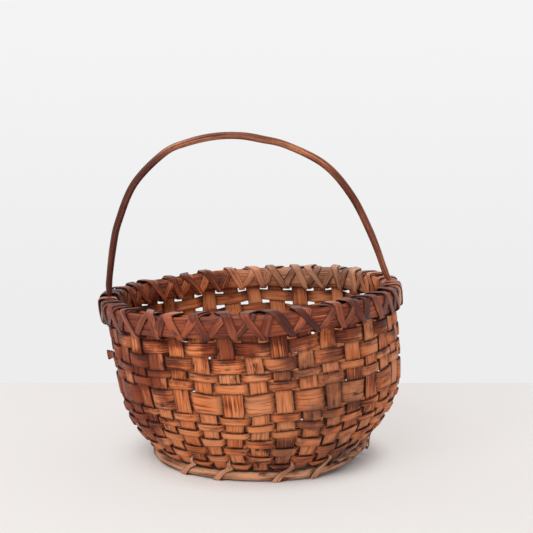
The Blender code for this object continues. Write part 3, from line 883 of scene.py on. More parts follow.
@dataclass
class Splints:
    """The eighteen long splints: plaited through the base and bent up as the stakes."""

    form: BasketForm
    wall_steps: int = 90
    base_steps: int = 110
    narrowing: float = 0.042
    wobble: float = 0.00007
    wobble_wave: float = 0.011
    narrowing_wave: float = 0.034
    corner: float = 0.0002
    shade_fade: float = 0.0010
    base_dark: float = 0.6
    shade_spread: float = 0.20

    def covered(self, arc: np.ndarray, turn: float) -> tuple:
        """The shade that a row paints on each place of a stake: 1 where the row lies on the stake, fading
        beside it.

        Args:
            arc: Distances up the wall.
            turn: The stake's angle, in stakes.

        Returns:
            The painted shade of the outer face and of the inner one.
        """
        faces = [np.zeros_like(arc), np.zeros_like(arc)]
        for row, (low, high) in enumerate(self.form.row_edges):
            near = smooth((arc - low) / self.shade_fade + 1.0) * smooth((high - arc) / self.shade_fade + 1.0)
            side = (row + int(round(turn))) % 2
            faces[side] = np.maximum(faces[side], near)
        return tuple(faces)

    def tones(self, arc: np.ndarray, turn: float) -> np.ndarray:
        """A shade for each stretch of a stake between two rows that cover it.

        Args:
            arc: Distances up the wall.
            turn: The stake's angle, in stakes.

        Returns:
            The shade at each distance.
        """
        middles = [sum(edges) / 2 for edges in self.form.row_edges]
        draw = np.random.default_rng(900 + int(turn))
        shades = draw.uniform(-self.shade_spread, self.shade_spread, len(middles))
        return np.interp(arc, middles, shades)

    def wall_part(self, turn: float) -> tuple:
        """A stake's line on the wall, from the edge of the base up to its top.

        Args:
            turn: The stake's angle, in stakes.

        Returns:
            Centres, half widths, half thicknesses, sags, the painted shade of both faces, and the shade.
        """
        form = self.form
        arc = np.linspace(0.0, form.wall_arc, self.wall_steps)
        radius, _, out, up = form.wall(arc)
        turns = np.full_like(arc, turn)
        wobble = self.wobble * wander(arc, 40 + int(turn), self.wobble_wave) * smooth(arc / 0.01)
        centre = form.raw(turns, arc, wobble)
        spare = self.narrowing * (1.0 + wander(arc, 1400 + int(turn), self.narrowing_wave))
        spare *= smooth(arc / 0.02) * smooth((form.hoop_bottom - arc) / 0.012)
        half = form.half_width(arc) * (1.0 - spare)
        wide = form.tangent(turns) * half[:, None]
        thick = form.at(turns, out, up)
        # The first section is the mitre of the bend: half way from the base's downward face to the wall's.
        thick[0] += np.array([0.0, 0.0, -1.0])
        thick[0] *= 2.0 / float(thick[0] @ thick[0])
        sag = -form.radial(turns) * (half ** 2 / (2.0 * radius))[:, None]
        sag *= smooth(arc / 0.006)[:, None]
        outside, inside = self.covered(arc, turn)
        inside = form.inner_dark(inside, arc)
        return centre, wide, thick * form.splint / 2, sag, outside, inside, self.tones(arc, turn)

    def base_part(self, number: int, along: np.ndarray, across: np.ndarray, lift: float) -> tuple:
        """A splint's line through the plaited base: level at each crossing, with a smooth step between two.

        Args:
            number: The splint's place in its family, 0 at the middle.
            along: The direction it runs in.
            across: The direction of its width.
            lift: The height of its wave, 0 for a flat one.

        Returns:
            Centres, half widths, half thicknesses, sags, the painted shade of both faces, and the shade.
        """
        form = self.form
        reach = form.half_family * form.base_pitch + form.half_stake + self.corner
        run = np.linspace(-reach, reach, self.base_steps)
        cell = run / form.base_pitch
        crossing = np.round(cell)
        flat = (form.half_stake + self.corner) / form.base_pitch
        share = smooth((np.abs(cell - crossing) - flat) / (1.0 - 2.0 * flat))
        ahead = crossing + np.sign(cell - crossing)
        here = (-1.0) ** (number + crossing)
        there = (-1.0) ** (number + ahead)
        inside = np.abs(ahead) <= form.half_family
        wave = lift * np.where(inside, here * (1.0 - share) + there * share, here)
        down = np.array([0.0, 0.0, -1.0])
        centre = run[:, None] * along + across * number * form.base_pitch - down * form.base_level
        centre = centre + down * wave[:, None]
        wide = np.broadcast_to(across * form.half_stake, centre.shape).copy()
        thick = np.broadcast_to(down * form.splint / 2, centre.shape).copy()
        # Painted shade on the base: darkest where a splint passes under another.
        hidden = smooth(np.abs(cell - crossing) / 0.5) * self.base_dark
        return centre, wide, thick, np.zeros_like(centre), hidden, hidden, 0.0 * hidden

    def strand(self, number: int, long: bool) -> Strand:
        """One whole splint, wall to wall.

        Args:
            number: Its place in its family, 0 at the middle.
            long: True for the family along X, whose base part waves.

        Returns:
            The strand.
        """
        form = self.form
        quarter = form.stakes / 4
        first, last = (2 * quarter - number, number) if long else (number - quarter, quarter - number)
        along, across = (np.eye(3)[0], np.eye(3)[1]) if long else (np.eye(3)[1], np.eye(3)[0])
        start = [part[::-1] for part in self.wall_part(first)]
        middle = self.base_part(number, along, across, form.weave if long else 0.0)
        end = list(self.wall_part(last))
        for part in (start, end):
            part[1] = part[1] * math.copysign(1.0, float(part[1][0] @ across))
        whole = [np.concatenate(parts) for parts in zip(start, middle, end)]
        centre, wide, thick, sag, outside, inside, shade = whole
        seed = 100 + 2 * number + (0 if long else 1)
        tone = 0.53 + shade + 0.10 * float(np.random.default_rng(seed).uniform(-1.0, 1.0))
        return Strand(centre, wide, thick, sag, outside, inside, crown=0.16, seed=seed, tone=tone)

    def build(self, finish: bpy.types.Material) -> None:
        """Makes and dresses every splint.

        Args:
            finish: The splints' finish.
        """
        for number in range(-self.form.half_family, self.form.half_family + 1):
            for long in (True, False):
                node = f"splint_{'long' if long else 'cross'}_{number + self.form.half_family + 1}"
                piece = self.strand(number, long).mesh(f"{node}_wood", self.form)
                dress(piece, finish, "splint", node)


@dataclass
class Weavers:
    """The twelve rows over and under the stakes, and the row hidden in the rim."""

    form: BasketForm
    steps: int = 11
    lap_first: int = 5
    lap_step: int = 5
    rim_first: int = 9
    trim: float = 0.00020
    trimmed_rows: int = 10
    broken_row: int = 9
    broken_half: float = 0.0030
    lap_lead: float = 0.0010
    corner: float = 0.0002
    tip_room: float = 0.0004
    bulge: float = 0.00045
    rise: float = 0.00012
    dive: float = 2.8
    shade_spread: float = 0.19
    sooty_rises: tuple = (0.35, 0.4)
    rim_row_room: tuple = (0.0015, 0.0030)

    def offset_at(self, row: int, turn: np.ndarray) -> np.ndarray:
        """The height off the stakes' middle at whole stakes: outside, inside, or inside a tail.

        Args:
            row: The row's number from the bottom.
            turn: Whole stakes.

        Returns:
            The height at each.
        """
        form = self.form
        turn = np.round(turn).astype(int)
        sign = np.where((row + turn) % 2 == 0, 1.0, -1.0) * form.weave
        deep = form.tail_offset - form.tail / 2 - form.clearance - form.splint / 2
        high = row < len(form.row_edges) and form.row_edges[row][1] > form.tail_bottom - form.clearance
        tail = (turn % (form.stakes // 2) == 0) & (sign < 0) & high
        return np.where(tail, deep, sign)

    def beats(self, first: int, count: int, flat: float, tip: float) -> np.ndarray:
        """Angles along a row: even steps over each stake, even ones between two, and the last end's.

        Args:
            first: The stake where it starts.
            count: How many stakes it passes.
            flat: Half of what a stake takes of it, in stakes.
            tip: How far its last end passes its last stake.

        Returns:
            The angles, in stakes.
        """
        share = np.linspace(0.0, 1.0, self.steps)[:-1]
        beat = np.concatenate([-flat + 2 * flat * share * 0.999, flat + (1 - 2 * flat) * share])
        turns = [first + step + beat for step in range(count)]
        return np.concatenate(turns + [first + count + np.linspace(-flat, tip, self.steps)])

    def height(self, row: int, turn: np.ndarray, flat: float) -> np.ndarray:
        """A row's height off the stakes' middle: level over each stake, a smooth S between two.

        Args:
            row: Its number from the bottom.
            turn: Angles in stakes.
            flat: Half of what a stake takes of it.

        Returns:
            The height at each angle.
        """
        nearest = np.round(turn)
        past = turn - nearest
        other = nearest + np.where(past >= 0, 1.0, -1.0)
        ease = smooth(np.clip((np.abs(past) - flat) / (1.0 - 2.0 * flat), 0.0, 0.5))
        return self.offset_at(row, nearest) * (1.0 - ease) + self.offset_at(row, other) * ease

    def lapped(self, row: int, turn: np.ndarray, last: int, flat: float, lead: float) -> np.ndarray:
        """The height of a row that bulges a little over each stake and ends under its own start.

        Args:
            row: Its number from the bottom.
            turn: Angles in stakes.
            last: The stake where its last end lies.
            flat: Half of what a stake takes of it.
            lead: How far before that stake it has gone under.

        Returns:
            The height at each angle.
        """
        past = turn - np.round(turn)
        start, end = last - 1 + flat, last - flat - lead
        lap = smooth((turn - start) / (end - start))
        before, after = self.offset_at(row, np.array([last - 1.0, last]))
        under = before * (1.0 - lap) + (after - self.form.weave) * lap
        offset = np.where(turn > start, under, self.height(row, turn, flat))
        bulge = np.where(offset > 0, self.bulge, 0.0)
        return offset + bulge * np.cos(np.clip(past / flat, -1.0, 1.0) * np.pi / 2)

    def strand(self, row: int) -> Strand:
        """A row once round the basket: the bottom and top edges of a line that waves past the stakes.

        Args:
            row: Its number from the bottom, or the number of rows for the hidden one.

        Returns:
            The strand.
        """
        form = self.form
        rim = row == len(form.row_edges)
        below, above = self.rim_row_room
        low, high = (form.hoop_bottom + below, form.hoop_top - above) if rim else form.row_edges[row]
        first = self.rim_first if rim else self.lap_first + self.lap_step * row
        middle = (low + high) / 2
        radius, _, out, up = (float(value) for value in form.wall(middle))
        pitch = radius * form.turn
        flat = (float(max(form.half_width(low), form.half_width(high))) + self.corner) / pitch
        count = form.stakes - 1 if rim else form.stakes
        tip = flat if rim else flat - self.tip_room / pitch
        turn = self.beats(first, count, flat, tip)
        if rim:
            offset = self.height(row, turn, flat)
        else:
            offset = self.lapped(row, turn, first + count, flat, self.lap_lead / pitch)
        nearest = np.round(turn)
        past = turn - nearest
        far = np.where((row + nearest) % 2 == 0, np.abs(past), 1.0 - np.abs(past))
        # far is 0 over a stake that the row passes outside of, and 1 over one that it passes inside of.
        # Painted shade where the row goes under a stake: hidden on the outer face, inside on the inner one.
        dive = np.clip((np.stack([far, 1.0 - far]) - flat) / (1.0 - 2 * flat), 0.0, 1.0)
        hidden, inside = dive ** self.dive
        inside = form.inner_dark(inside, middle)
        rise = self.rise * wander(turn, row + 41, 1.3)
        trim = self.trim if row < self.trimmed_rows else 0.0
        top = form.raw(turn, high - trim * (1.0 + wander(turn, row + 141, 1.6)) + rise, offset)
        bottom = form.raw(turn, low + trim * (1.0 + wander(turn, row + 241, 1.9)) + rise, offset)
        seed = 300 + 13 * row
        draw = np.random.default_rng(seed)
        shades = draw.uniform(-self.shade_spread, self.shade_spread, form.stakes + 3)
        stretch = shades[(nearest - first).astype(int)] * np.cos(np.pi * past) ** 2
        start, fade = self.sooty_rises
        higher = smooth((middle / form.wall_arc - start) / fade)
        return Strand(
            (top + bottom) / 2, (top - bottom) / 2, form.at(turn, out, up) * form.splint / 2, None,
            hidden, inside, smooth(0.42 + 0.9 * wander(turn, seed + 5, 0.8)) * (0.40 + 0.75 * higher),
            crown=0.28, seed=seed, tone=0.52 + 0.5 * shades[-1] + stretch,
        )

    def broken_end(self) -> Strand:
        """The broken end of a row at the left: it comes out beside a stake and stands off the wall.

        Returns:
            The strand.
        """
        form = self.form
        low, high = form.row_edges[self.broken_row]
        share = np.linspace(0.0, 1.0, 14)
        turn = form.stakes / 2 + 0.50 - 0.62 * share
        offset = 0.0014 + 0.0056 * share ** 1.4
        middle = (low + high) / 2 - 0.0012 * share
        half = self.broken_half * (1.0 + 0.55 * share)
        centre = form.raw(turn, middle, offset)
        wide = (form.raw(turn, middle + half, offset) - form.raw(turn, middle - half, offset)) / 2
        thick = form.radial(turn) * form.splint / 2
        return Strand(centre, wide, thick, soot=share, seed=391, tone=0.40, rough=0.15)

    def build(self, finish: bpy.types.Material) -> None:
        """Makes and dresses every row, and the broken end of one.

        Args:
            finish: The rows' finish.
        """
        rows = len(self.form.row_edges)
        for row in range(rows + 1):
            node = "rim_row" if row == rows else f"weaver_{row + 1}"
            piece = self.strand(row).mesh(f"{node}_wood", self.form)
            dress(piece, finish, "weaver", node)
        node = f"weaver_{self.broken_row + 1}"
        dress(self.broken_end().mesh(f"{node}_broken_end", self.form), finish, "weaver", node)


def plane_normals(places: np.ndarray) -> np.ndarray:
    """Unit normals of a smooth path in the plane of radius and height."""
    steps = unit(np.gradient(places, axis=0))
    return np.stack([steps[:, 1], -steps[:, 0]], axis=1)


def rounded(points: np.ndarray, radius: float, arc_steps: int, gap: float) -> np.ndarray:
    """Rounds a path's corners with quadratic curves and fills its straights with even steps.

    Args:
        points: Corners, in the first columns radius and height, then anything that follows along.
        radius: How far from a corner its curve starts.
        arc_steps: Steps in each curve.
        gap: The longest step on a straight.

    Returns:
        The fine path.
    """
    def straight(start: np.ndarray, end: np.ndarray) -> np.ndarray:
        """Even steps from start to end, without the start."""
        count = max(int(np.linalg.norm((end - start)[:2]) / gap), 1)
        return start + (end - start) * np.linspace(0.0, 1.0, count + 1)[1:, None]

    path = [points[0][None, :]]
    previous = points[0]
    for before, corner, after in zip(points[:-2], points[1:-1], points[2:]):
        into, away = corner - before, after - corner
        length_in, length_out = np.linalg.norm(into[:2]), np.linalg.norm(away[:2])
        start = corner - into * min(radius / max(length_in, 1e-9), 0.49)
        end = corner + away * min(radius / max(length_out, 1e-9), 0.49)
        path.append(straight(previous, start))
        share = np.linspace(0.0, 1.0, arc_steps + 1)[1:, None]
        path.append(start * (1 - share) ** 2 + 2 * corner * share * (1 - share) + end * share ** 2)
        previous = end
    return np.concatenate(path + [straight(previous, points[-1])])


@dataclass
class Rim:
    """The two hoops round the stakes' tops and the four lashings that bind them."""

    form: BasketForm
    outer_first: int = 12
    inner_first: int = 30
    lap: float = 2.0
    lap_side: float = 0.3
    hoop_steps: int = 360
    fill: float = 0.0010
    roll: float = 0.0007
    strip: float = 0.00085
    over_in: float = 0.00018
    stray: float = 0.34
    taper: float = 0.35
    end_half: float = 0.0012
    bend: tuple = (0.0042, 9, 0.0015)
    sink: float = 0.75
    stagger: float = 0.07
    tilt: float = 0.10
    widths: tuple = (0.96, 0.16, 0.44)
    tones: tuple = (0.47, 0.20)

    def hoop(self, first: int, faces: tuple, seed: int) -> Strand:
        """A hoop once round and a lap more, halved in thickness at both ends, with soft corners.

        Args:
            first: The stake where it starts.
            faces: Its inner and outer offsets.
            seed: Its seed.

        Returns:
            The strand.
        """
        form = self.form
        turn = np.linspace(first, first + form.stakes + self.lap, self.hoop_steps) - self.lap_side
        low, high = faces
        middle = (low + high) / 2
        fuller = (low, high + self.fill) if middle > 0 else (low - self.fill, high)
        inner, outer = form.lap_faces(turn, self.lap, self.taper, fuller, middle)
        arc = np.full_like(turn, (form.hoop_bottom + form.hoop_top) / 2)
        _, _, out, up = form.wall(arc)
        centre = form.raw(turn, arc, (inner + outer) / 2)
        thick = form.at(turn, out, up) * ((outer - inner) / 2)[:, None]
        wide = form.at(turn, 0.0, form.hoop_height / 2)
        return Strand(centre, wide, thick, outline=Outline.ROD, seed=seed, rough=0.012, power=0.95, tone=0.46)

    def lash_width(self) -> float:
        """The lashing's width round the rim: the gap between two stakes, less room on both sides.

        Returns:
            The width, in metres.
        """
        form = self.form
        edge = math.atan(float(form.half_width(form.hoop_bottom)) / form.rim_radius)
        return 2 * (form.rim_radius * math.tan(form.turn / 2 - edge) - form.lash_side_room)

    def route(self, course: Course, half: int, sides: tuple, heights: tuple) -> np.ndarray:
        """A lashing's path: from below the rim, four corners round both hoops at each stake, and back below.

        Args:
            course: Under or over.
            half: 0 for the back of the rim, 1 for the front.
            sides: Its outer and inner offsets.
            heights: Its lowest and highest places.

        Returns:
            Offsets, heights up the wall and angles, with rounded corners.
        """
        stakes, (outside, inside), (bottom, top) = self.form.stakes, sides, heights
        lean = 0.5 if course is Course.UNDER else -0.5
        order = list(range(half * stakes // 2, (half + 1) * stakes // 2))
        order = order if course is Course.UNDER else order[::-1]
        corners = [(self.end_half, bottom, order[0] - lean)]
        draw = np.random.default_rng(40 + 2 * course.value + half)
        strays = draw.uniform(-self.stray, self.stray, (len(order), 2))
        for stake, stray in zip(order, strays):
            over = stake + (np.array([lean, lean]) if stake % (stakes // 2) == 0 else stray)
            corners += [(outside, bottom, stake - lean), (outside, top, over[0])]
            corners += [(inside, top, over[1]), (inside, bottom, stake + lean)]
        corners.append((-self.end_half, bottom, order[-1] + lean))
        return rounded(np.array(corners), *self.bend)

    def lashing(self, course: Course, half: int) -> Strand:
        """One lashing: round both hoops at each stake, stepping on by half a gap on either face.

        Args:
            course: Under or over.
            half: 0 for the back of the rim, 1 for the front.

        Returns:
            The strand.
        """
        form = self.form
        layer = course.value
        grow = form.lash / 2 + layer * (form.lash + form.layer_gap - self.over_in)
        outside = form.outer_faces[1] + form.lash_clearance + grow
        inside = form.inner_faces[0] - form.lash_clearance - grow
        top = form.hoop_top + form.clearance + grow
        bottom = form.hoop_bottom - form.clearance - grow
        path = self.route(course, half, (outside, inside), (bottom, top))
        height = np.clip((path[:, 1] - bottom) / (top - bottom), 0.0, 1.0)
        middle = 4 * height * (1.0 - height)
        side = np.sign(path[:, 0]) * smooth((np.abs(path[:, 0]) - 0.002) / 0.003)
        sunk = layer * (form.layer_gap + form.lash) * self.sink * smooth(1.4 * middle)
        path[:, 0] += side * (self.roll * middle - sunk)
        seed = 500 + 10 * layer + half
        along = np.arange(len(path), dtype=float)
        free = smooth((path[:, 1] - form.hoop_bottom) / 0.006)
        path[:, 2] += self.stagger * wander(along, seed + 6, 17.0) * free
        offset, arc, turn = path.T
        normal = plane_normals(path[:, :2])
        centre = form.raw(turn, arc, offset)
        thick = form.at(turn, normal[:, 0], normal[:, 1])
        least, varied, fuller = self.widths
        share = least + varied * wander(along, seed + 5, 21.0) * free + fuller * free
        width = self.lash_width() / 2 * share
        tilt = self.tilt * wander(along, seed + 8, 13.0) * free
        wide = form.tangent(turn) * width[:, None] + thick * (tilt * width)[:, None]
        sag = -form.radial(turn) * (width ** 2 / (2.0 * form.wall(arc)[0]))[:, None]
        tone = self.tones[0] + self.tones[1] * wander(along, seed + 9, 34.0)
        return Strand(centre, wide, thick * self.strip / 2, sag, crown=0.35, seed=seed, rough=0.03, tone=tone)

    def build(self, hoop_finish: bpy.types.Material, lash_finish: bpy.types.Material) -> None:
        """Makes and dresses the hoops and lashings.

        Args:
            hoop_finish: The hoops' finish.
            lash_finish: The lashings' finish.
        """
        hoops = (
            ("rim_hoop_outer", self.outer_first, self.form.outer_faces),
            ("rim_hoop_inner", self.inner_first, self.form.inner_faces),
        )
        for seed, (node, first, faces) in enumerate(hoops):
            piece = self.hoop(first, faces, 600 + seed).mesh(f"{node}_wood", self.form)
            dress(piece, hoop_finish, "hoop", node)
        for course in Course:
            for half, side in enumerate(("back", "front")):
                node = f"rim_lashing_{course.name.lower()}_{side}"
                piece = self.lashing(course, half).mesh(f"{node}_wood", self.form)
                dress(piece, lash_finish, "lashing", node)


def curve_through(points: np.ndarray, samples: int) -> np.ndarray:
    """A Catmull-Rom curve through points: each stretch is a cubic set by its four nearest points.

    Args:
        points: The points.
        samples: Samples in each stretch.

    Returns:
        The curve's points.
    """
    padded = np.vstack([2 * points[0] - points[1], points, 2 * points[-1] - points[-2]])
    a, b, c, d = (padded[start:len(padded) - 3 + start, None, :] for start in range(4))
    t = (np.arange(samples) / samples)[None, :, None]
    cubic = 2 * b + (c - a) * t + (2 * a - 5 * b + 4 * c - d) * t ** 2 + (3 * b - a - 3 * c + d) * t ** 3
    cubic = cubic / 2
    return np.vstack([cubic.reshape(-1, points.shape[1]), points[-1]])


@dataclass
class Handle:
    """The bow handle with its two thin tails."""

    form: BasketForm
    thickness: float = 0.0058
    neck: float = 0.0049
    width: float = 0.0080
    tail_width: float = 0.0090
    rise: float = 0.1150
    neck_shares: tuple = (-0.015, 0.010, 0.06, 0.30)
    foot: float = 0.0040
    uneven: float = 0.10
    leg_shades: tuple = ((-1.0, 0.058, 0.030, 0.36), (1.0, 0.062, 0.025, 0.25))
    bow_shares: tuple = (
        (-1.000, 0.090), (-0.968, 0.320), (-0.925, 0.485), (-0.811, 0.722), (-0.599, 0.910),
        (-0.434, 0.970), (-0.245, 1.000), (-0.066, 0.996), (0.089, 0.966), (0.274, 0.914),
        (0.538, 0.775), (0.726, 0.567), (0.862, 0.319), (0.968, 0.067),
    )

    def tail(self, side: float) -> np.ndarray:
        """A tail's middle line inside its stake, upwards.

        Args:
            side: -1 for the left tail, 1 for the right one.

        Returns:
            Pairs of x and height.
        """
        form = self.form
        arc = np.linspace(form.tail_bottom, form.hoop_top + form.lash_room, 24)
        radius, height, out, up = form.wall(arc)
        return np.stack([side * (radius + out * form.tail_offset), height + up * form.tail_offset], axis=1)

    def strand(self) -> Strand:
        """The whole handle, tail to tail, as a rod whose section swells from the tails to the bow.

        Returns:
            The strand.
        """
        left, right = self.tail(-1.0), self.tail(1.0)
        span, foot = right[-1]
        shares = np.array([(-1.0, 0.0), *self.bow_shares, (1.0, 0.0)])
        bow = curve_through(shares * (span, self.rise) + (0.0, foot), 24)
        places = np.vstack([left[:-1], bow, right[:-1][::-1]])
        rise = (places[:, 1] - foot) / self.rise
        along = np.arange(len(places), dtype=float)
        thickness = np.interp(rise, self.neck_shares, (self.form.tail, self.foot, self.neck, self.thickness))
        uneven = self.uneven * smooth((rise - 0.03) / 0.1)
        thickness = thickness * (1.0 - uneven * (1.0 + wander(along, 71, 26.0)) / 2)
        width = np.interp(rise, self.neck_shares[:2], (self.tail_width, self.width))
        normal = plane_normals(places)
        zero = np.zeros(len(places))
        centre = np.stack([places[:, 0], zero, places[:, 1]], axis=1)
        thick = np.stack([normal[:, 0], zero, normal[:, 1]], axis=1) * (thickness / 2)[:, None]
        wide = np.stack([zero, width / 2, zero], axis=1)
        tone = 0.50 - sum(
            dark * smooth((side * places[:, 0] - start) / fade) for side, start, fade, dark in self.leg_shades
        )
        return Strand(centre, wide, -thick, outline=Outline.ROD, seed=700, rough=0.012, tone=tone)

    def build(self, finish: bpy.types.Material) -> None:
        """Makes and dresses the handle."""
        dress(self.strand().mesh("handle_wood", self.form), finish, "handle", "handle")


@dataclass
class Foot:
    """The hoop under the base and the ties that hold it."""

    form: BasketForm
    first: float = 30.0
    lap: float = 2.25
    steps: int = 260
    gaps: tuple = (-13, -11, -8, -6, -1, 3, 7, 11, 15)
    width: float = 0.0064
    wall_width: float = 0.0026
    neck_width: float = 0.0017
    inside_gap: float = 0.00065
    end_gap: float = 0.0005
    slant: float = 0.8
    taper: float = 0.6
    edge_in: float = 0.0009
    corner: float = 0.0002
    thinner: float = 0.00006
    bend: tuple = (0.0016, 6, 0.0010)

    def hoop(self) -> Strand:
        """The foot hoop: a softened square rod once round and a lap more, halved at both ends.

        Returns:
            The strand.
        """
        form = self.form
        turn = np.linspace(self.first, self.first + form.stakes + self.lap, self.steps)
        middle = form.base_radius
        faces = (middle - form.foot_width / 2, middle + form.foot_width / 2)
        inner, outer = form.lap_faces(turn, self.lap, self.taper, faces, middle)
        centre = form.at(turn, (inner + outer) / 2, (form.foot_bottom + form.foot_top) / 2)
        wide = form.at(turn, (outer - inner) / 2, 0.0)
        thick = form.at(turn, 0.0, form.foot_height / 2)
        return Strand(centre, wide, thick, outline=Outline.ROD, seed=800, rough=0.05, power=0.88)

    def neck_turn(self, gap: int, radius: float) -> float:
        """The angle of the middle of a gap of the base, on the line between its ends at the two splints.

        Args:
            gap: The stake before the gap.
            radius: How far out.

        Returns:
            The angle, in stakes.
        """
        form = self.form
        quarter = form.stakes // 4
        side = round((gap + 0.5) / quarter) * quarter
        number = gap + 0.5 - side
        reach = form.half_family * form.base_pitch + form.half_stake + self.corner
        turned = np.array([reach, number * form.base_pitch])
        flat_edge = form.base_radius * math.cos(form.turn / 2)
        edge = flat_edge * np.array([math.cos(number * form.turn), math.sin(number * form.turn)])
        start, end = np.linalg.norm(turned), np.linalg.norm(edge)
        middle = turned + (edge - turned) * (radius - start) / (end - start)
        return side + math.atan2(middle[1], middle[0]) / form.turn

    def tie(self, number: int, gap: int) -> Strand:
        """A tie: down a gap of the base, under the hoop, up outside and in over the first row.

        Args:
            number: The tie's number, for its seed.
            gap: The gap between stakes that it passes through.

        Returns:
            The strand.
        """
        form = self.form
        half = form.tie / 2
        inner = form.base_radius - form.foot_width / 2 - form.clearance - half
        outer = form.base_radius + form.foot_width / 2 + form.clearance + half
        off_out = form.weave + form.splint / 2 + form.clearance + half
        off_in = -(form.weave + self.inside_gap + half)
        above = form.base_level - off_in
        neck = self.neck_turn(gap, inner)
        middle = gap + 0.5
        slanted = middle - self.slant

        def off_wall(arc: float, offset: float) -> tuple:
            """A place off the wall as radius and height."""
            radius, height, out, up = form.wall(arc)
            return float(radius + out * offset), float(height + up * offset)

        edge = (np.array(off_wall(0.0, off_in)) + (form.base_radius - self.edge_in, above)) / 2
        slot = form.knots[1]
        corners = np.array([
            (inner, above + half, neck, self.neck_width),
            (inner, form.foot_top, neck, self.neck_width),
            (inner, half, neck, self.neck_width),
            (outer, half, slanted, self.width),
            (outer, form.foot_top, slanted + 0.45 * self.slant, self.width),
            (*off_wall(form.row_edges[0][0], off_out), middle, self.width),
            (*off_wall(slot, off_out), middle, self.wall_width),
            (*off_wall(slot, off_in), middle, self.wall_width),
            (*edge, middle, self.neck_width),
            (inner + half + self.end_gap, above, neck, self.neck_width),
        ])
        path = rounded(corners, *self.bend)
        normal = plane_normals(path[:, :2])
        turn = path[:, 2]
        centre = form.at(turn, path[:, 0], path[:, 1])
        thick = form.at(turn, normal[:, 0], normal[:, 1]) * (half - self.thinner)
        wide = form.tangent(turn) * (path[:, 3:] / 2)
        return Strand(centre, wide, thick, crown=0.0, seed=820 + number, rough=0.02, tone=0.55)

    def build(self, finish: bpy.types.Material) -> None:
        """Makes and dresses the foot hoop and its ties.

        Args:
            finish: Their finish.
        """
        dress(self.hoop().mesh("foot_hoop_wood", self.form), finish, "foot", "foot_hoop")
        for number, gap in enumerate(self.gaps, start=1):
            node = f"foot_tie_{number}"
            dress(self.tie(number, gap).mesh(f"{node}_wood", self.form), finish, "foot", node)


@dataclass(frozen=True)
class Lamp:
    """A square soft lamp: where it hangs, what it is turned to, its side, its power and its colour."""

    name: str
    place: tuple
    aim: tuple
    size: float
    power: float
    colour: tuple

    def hang(self) -> None:
        """Adds the lamp to the scene, turned so that its beam runs from its place to its aim."""
        data = bpy.data.lights.new(self.name, "AREA")
        data.shape = "SQUARE"
        data.size = self.size
        data.energy = self.power
        data.color = self.colour
        lamp = bpy.data.objects.new(self.name, data)
        lamp.location = self.place
        x, y, z = np.array(self.aim) - np.array(self.place)
        lamp.rotation_euler = (math.atan2(math.hypot(x, y), -z), 0.0, math.atan2(-x, y))
        bpy.context.scene.collection.objects.link(lamp)


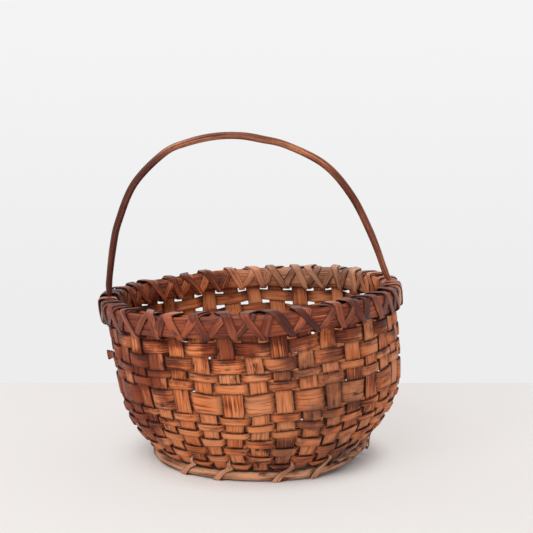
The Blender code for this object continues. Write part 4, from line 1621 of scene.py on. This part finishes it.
@dataclass
class Room:
    """The pale floor and wall, the soft lamps, the world and the camera."""

    wall_back: float = 0.232
    camera_back: float = 1.056
    camera_side: float = 0.0122
    camera_height: float = 0.303
    pitch: float = 8.5
    focal: float = 95.0
    sensor: float = 36.0
    size: float = 6.0
    floor_colour: tuple = (0.778, 0.761, 0.751)
    floor_shown: tuple = (0.830, 0.795, 0.770)
    floor_share: float = 0.7
    shadow_zone: tuple = (0.082, 0.114)
    wall_shades: tuple = ((0.845, 0.845, 0.85), (0.905, 0.905, 0.91))
    wall_rise: float = 0.40
    lamps: tuple = (
        Lamp("window", (-1.0, -1.7, 2.0), (0.0, 0.0, 0.08), 2.0, 54.0, (1.0, 0.98, 0.955)),
        Lamp("fill", (1.6, -1.6, 1.3), (0.0, 0.0, 0.10), 2.2, 5.0, (1.0, 0.98, 0.96)),
    )
    world_colour: tuple = (0.955, 0.955, 0.975)
    world_strength: float = 0.62

    def plain(self, nodes: Nodes, shown: bpy.types.NodeSocket | tuple, share: float) -> None:
        """Shows a share of a colour as written to camera, glossy and transmission rays; the rest is lit.

        Args:
            nodes: The material's nodes.
            shown: The colour.
            share: 1 for a surface that is all shown as written, less for one that keeps shadows.
        """
        tree = nodes.tree.nodes
        shader = tree["Principled BSDF"]
        shader.inputs["Roughness"].default_value = 0.85
        shader.inputs["Specular IOR Level"].default_value = 0.1
        nodes.feed(shader.inputs["Base Color"], shown if share == 1.0 else (*self.floor_colour, 1.0))
        glow = nodes.add("ShaderNodeEmission")
        nodes.feed(glow.inputs[0], shown)
        path = nodes.add("ShaderNodeLightPath").outputs
        seen = nodes.math("MAXIMUM", path["Is Camera Ray"], path["Is Glossy Ray"])
        seen = nodes.math("MAXIMUM", seen, path["Is Transmission Ray"])
        if share < 1.0:
            away = nodes.add("ShaderNodeVectorMath", operation="LENGTH")
            nodes.feed(away.inputs[0], nodes.place()[0])
            seen = nodes.times(seen, nodes.span(away.outputs["Value"], *self.shadow_zone, 0.0, share))
        surface = self.either(nodes, seen, shader.outputs[0], glow.outputs[0])
        behind = nodes.add("ShaderNodeNewGeometry").outputs["Backfacing"]
        clear = nodes.add("ShaderNodeBsdfTransparent").outputs[0]
        nodes.feed(tree["Material Output"].inputs[0], self.either(nodes, behind, surface, clear))

    def either(self, nodes: Nodes, share: object, first: object, second: object) -> bpy.types.NodeSocket:
        """Mixes two shaders.

        Args:
            nodes: The material's nodes.
            share: The second shader's share.
            first: The first shader.
            second: The second shader.

        Returns:
            The mixed one.
        """
        node = nodes.add("ShaderNodeMixShader")
        for socket, value in zip(node.inputs, (share, first, second)):
            nodes.feed(socket, value)
        return node.outputs[0]

    def sheet(self, name: str, corners: list) -> Nodes:
        """A flat four-sided surface through its corners, with a new material.

        Args:
            name: Its name.
            corners: Its four corners.

        Returns:
            The material's nodes.
        """
        mesh = bpy.data.meshes.new(name)
        mesh.from_pydata(corners, [], [(0, 1, 2, 3)])
        piece = bpy.data.objects.new(name, mesh)
        bpy.context.scene.collection.objects.link(piece)
        material = bpy.data.materials.new(f"{name}_pale")
        material.use_nodes = True
        mesh.materials.append(material)
        return Nodes(material.node_tree)

    def build(self) -> None:
        """Makes the room, its light and the camera."""
        s, back = self.size, self.wall_back
        nodes = self.sheet("floor", [(-s, -s, 0.0), (s, -s, 0.0), (s, s, 0.0), (-s, s, 0.0)])
        self.plain(nodes, (*self.floor_shown, 1.0), self.floor_share)
        nodes = self.sheet("backdrop", [(-s, back, 0.0), (s, back, 0.0), (s, back, s), (-s, back, s)])
        # The backdrop is shown as written, darker at the bottom and lighter towards the top: a painted
        # gradient of light.
        low, high = self.wall_shades
        height = nodes.place()[1][2]
        self.plain(nodes, nodes.mix(nodes.span(height, 0.0, self.wall_rise), (*low, 1.0), (*high, 1.0)), 1.0)
        for lamp in self.lamps:
            lamp.hang()
        world = bpy.data.worlds.new("soft_room")
        world.use_nodes = True
        background = world.node_tree.nodes["Background"]
        background.inputs[0].default_value = (*self.world_colour, 1.0)
        background.inputs[1].default_value = self.world_strength
        bpy.context.scene.world = world
        data = bpy.data.cameras.new("photo_camera")
        data.lens = self.focal
        data.sensor_width = self.sensor
        camera = bpy.data.objects.new("photo_camera", data)
        camera.location = (self.camera_side, -self.camera_back, self.camera_height)
        camera.rotation_euler = (math.radians(90.0 - self.pitch), 0.0, 0.0)
        bpy.context.scene.collection.objects.link(camera)
        bpy.context.scene.camera = camera
        bpy.context.scene.view_settings.view_transform = "Standard"


def main() -> None:
    """Builds the room and the basket."""
    logging.basicConfig(level=logging.INFO, format="%(name)s: %(message)s")
    Room().build()
    form = BasketForm()
    Splints(form).build(STAKE_WOOD.make())
    Weavers(form).build(WEAVER_WOOD.make())
    Rim(form).build(HOOP_WOOD.make(), LASHING_WOOD.make())
    Handle(form).build(HANDLE_WOOD.make())
    Foot(form).build(FOOT_WOOD.make())


if __name__ == "__main__":
    main()
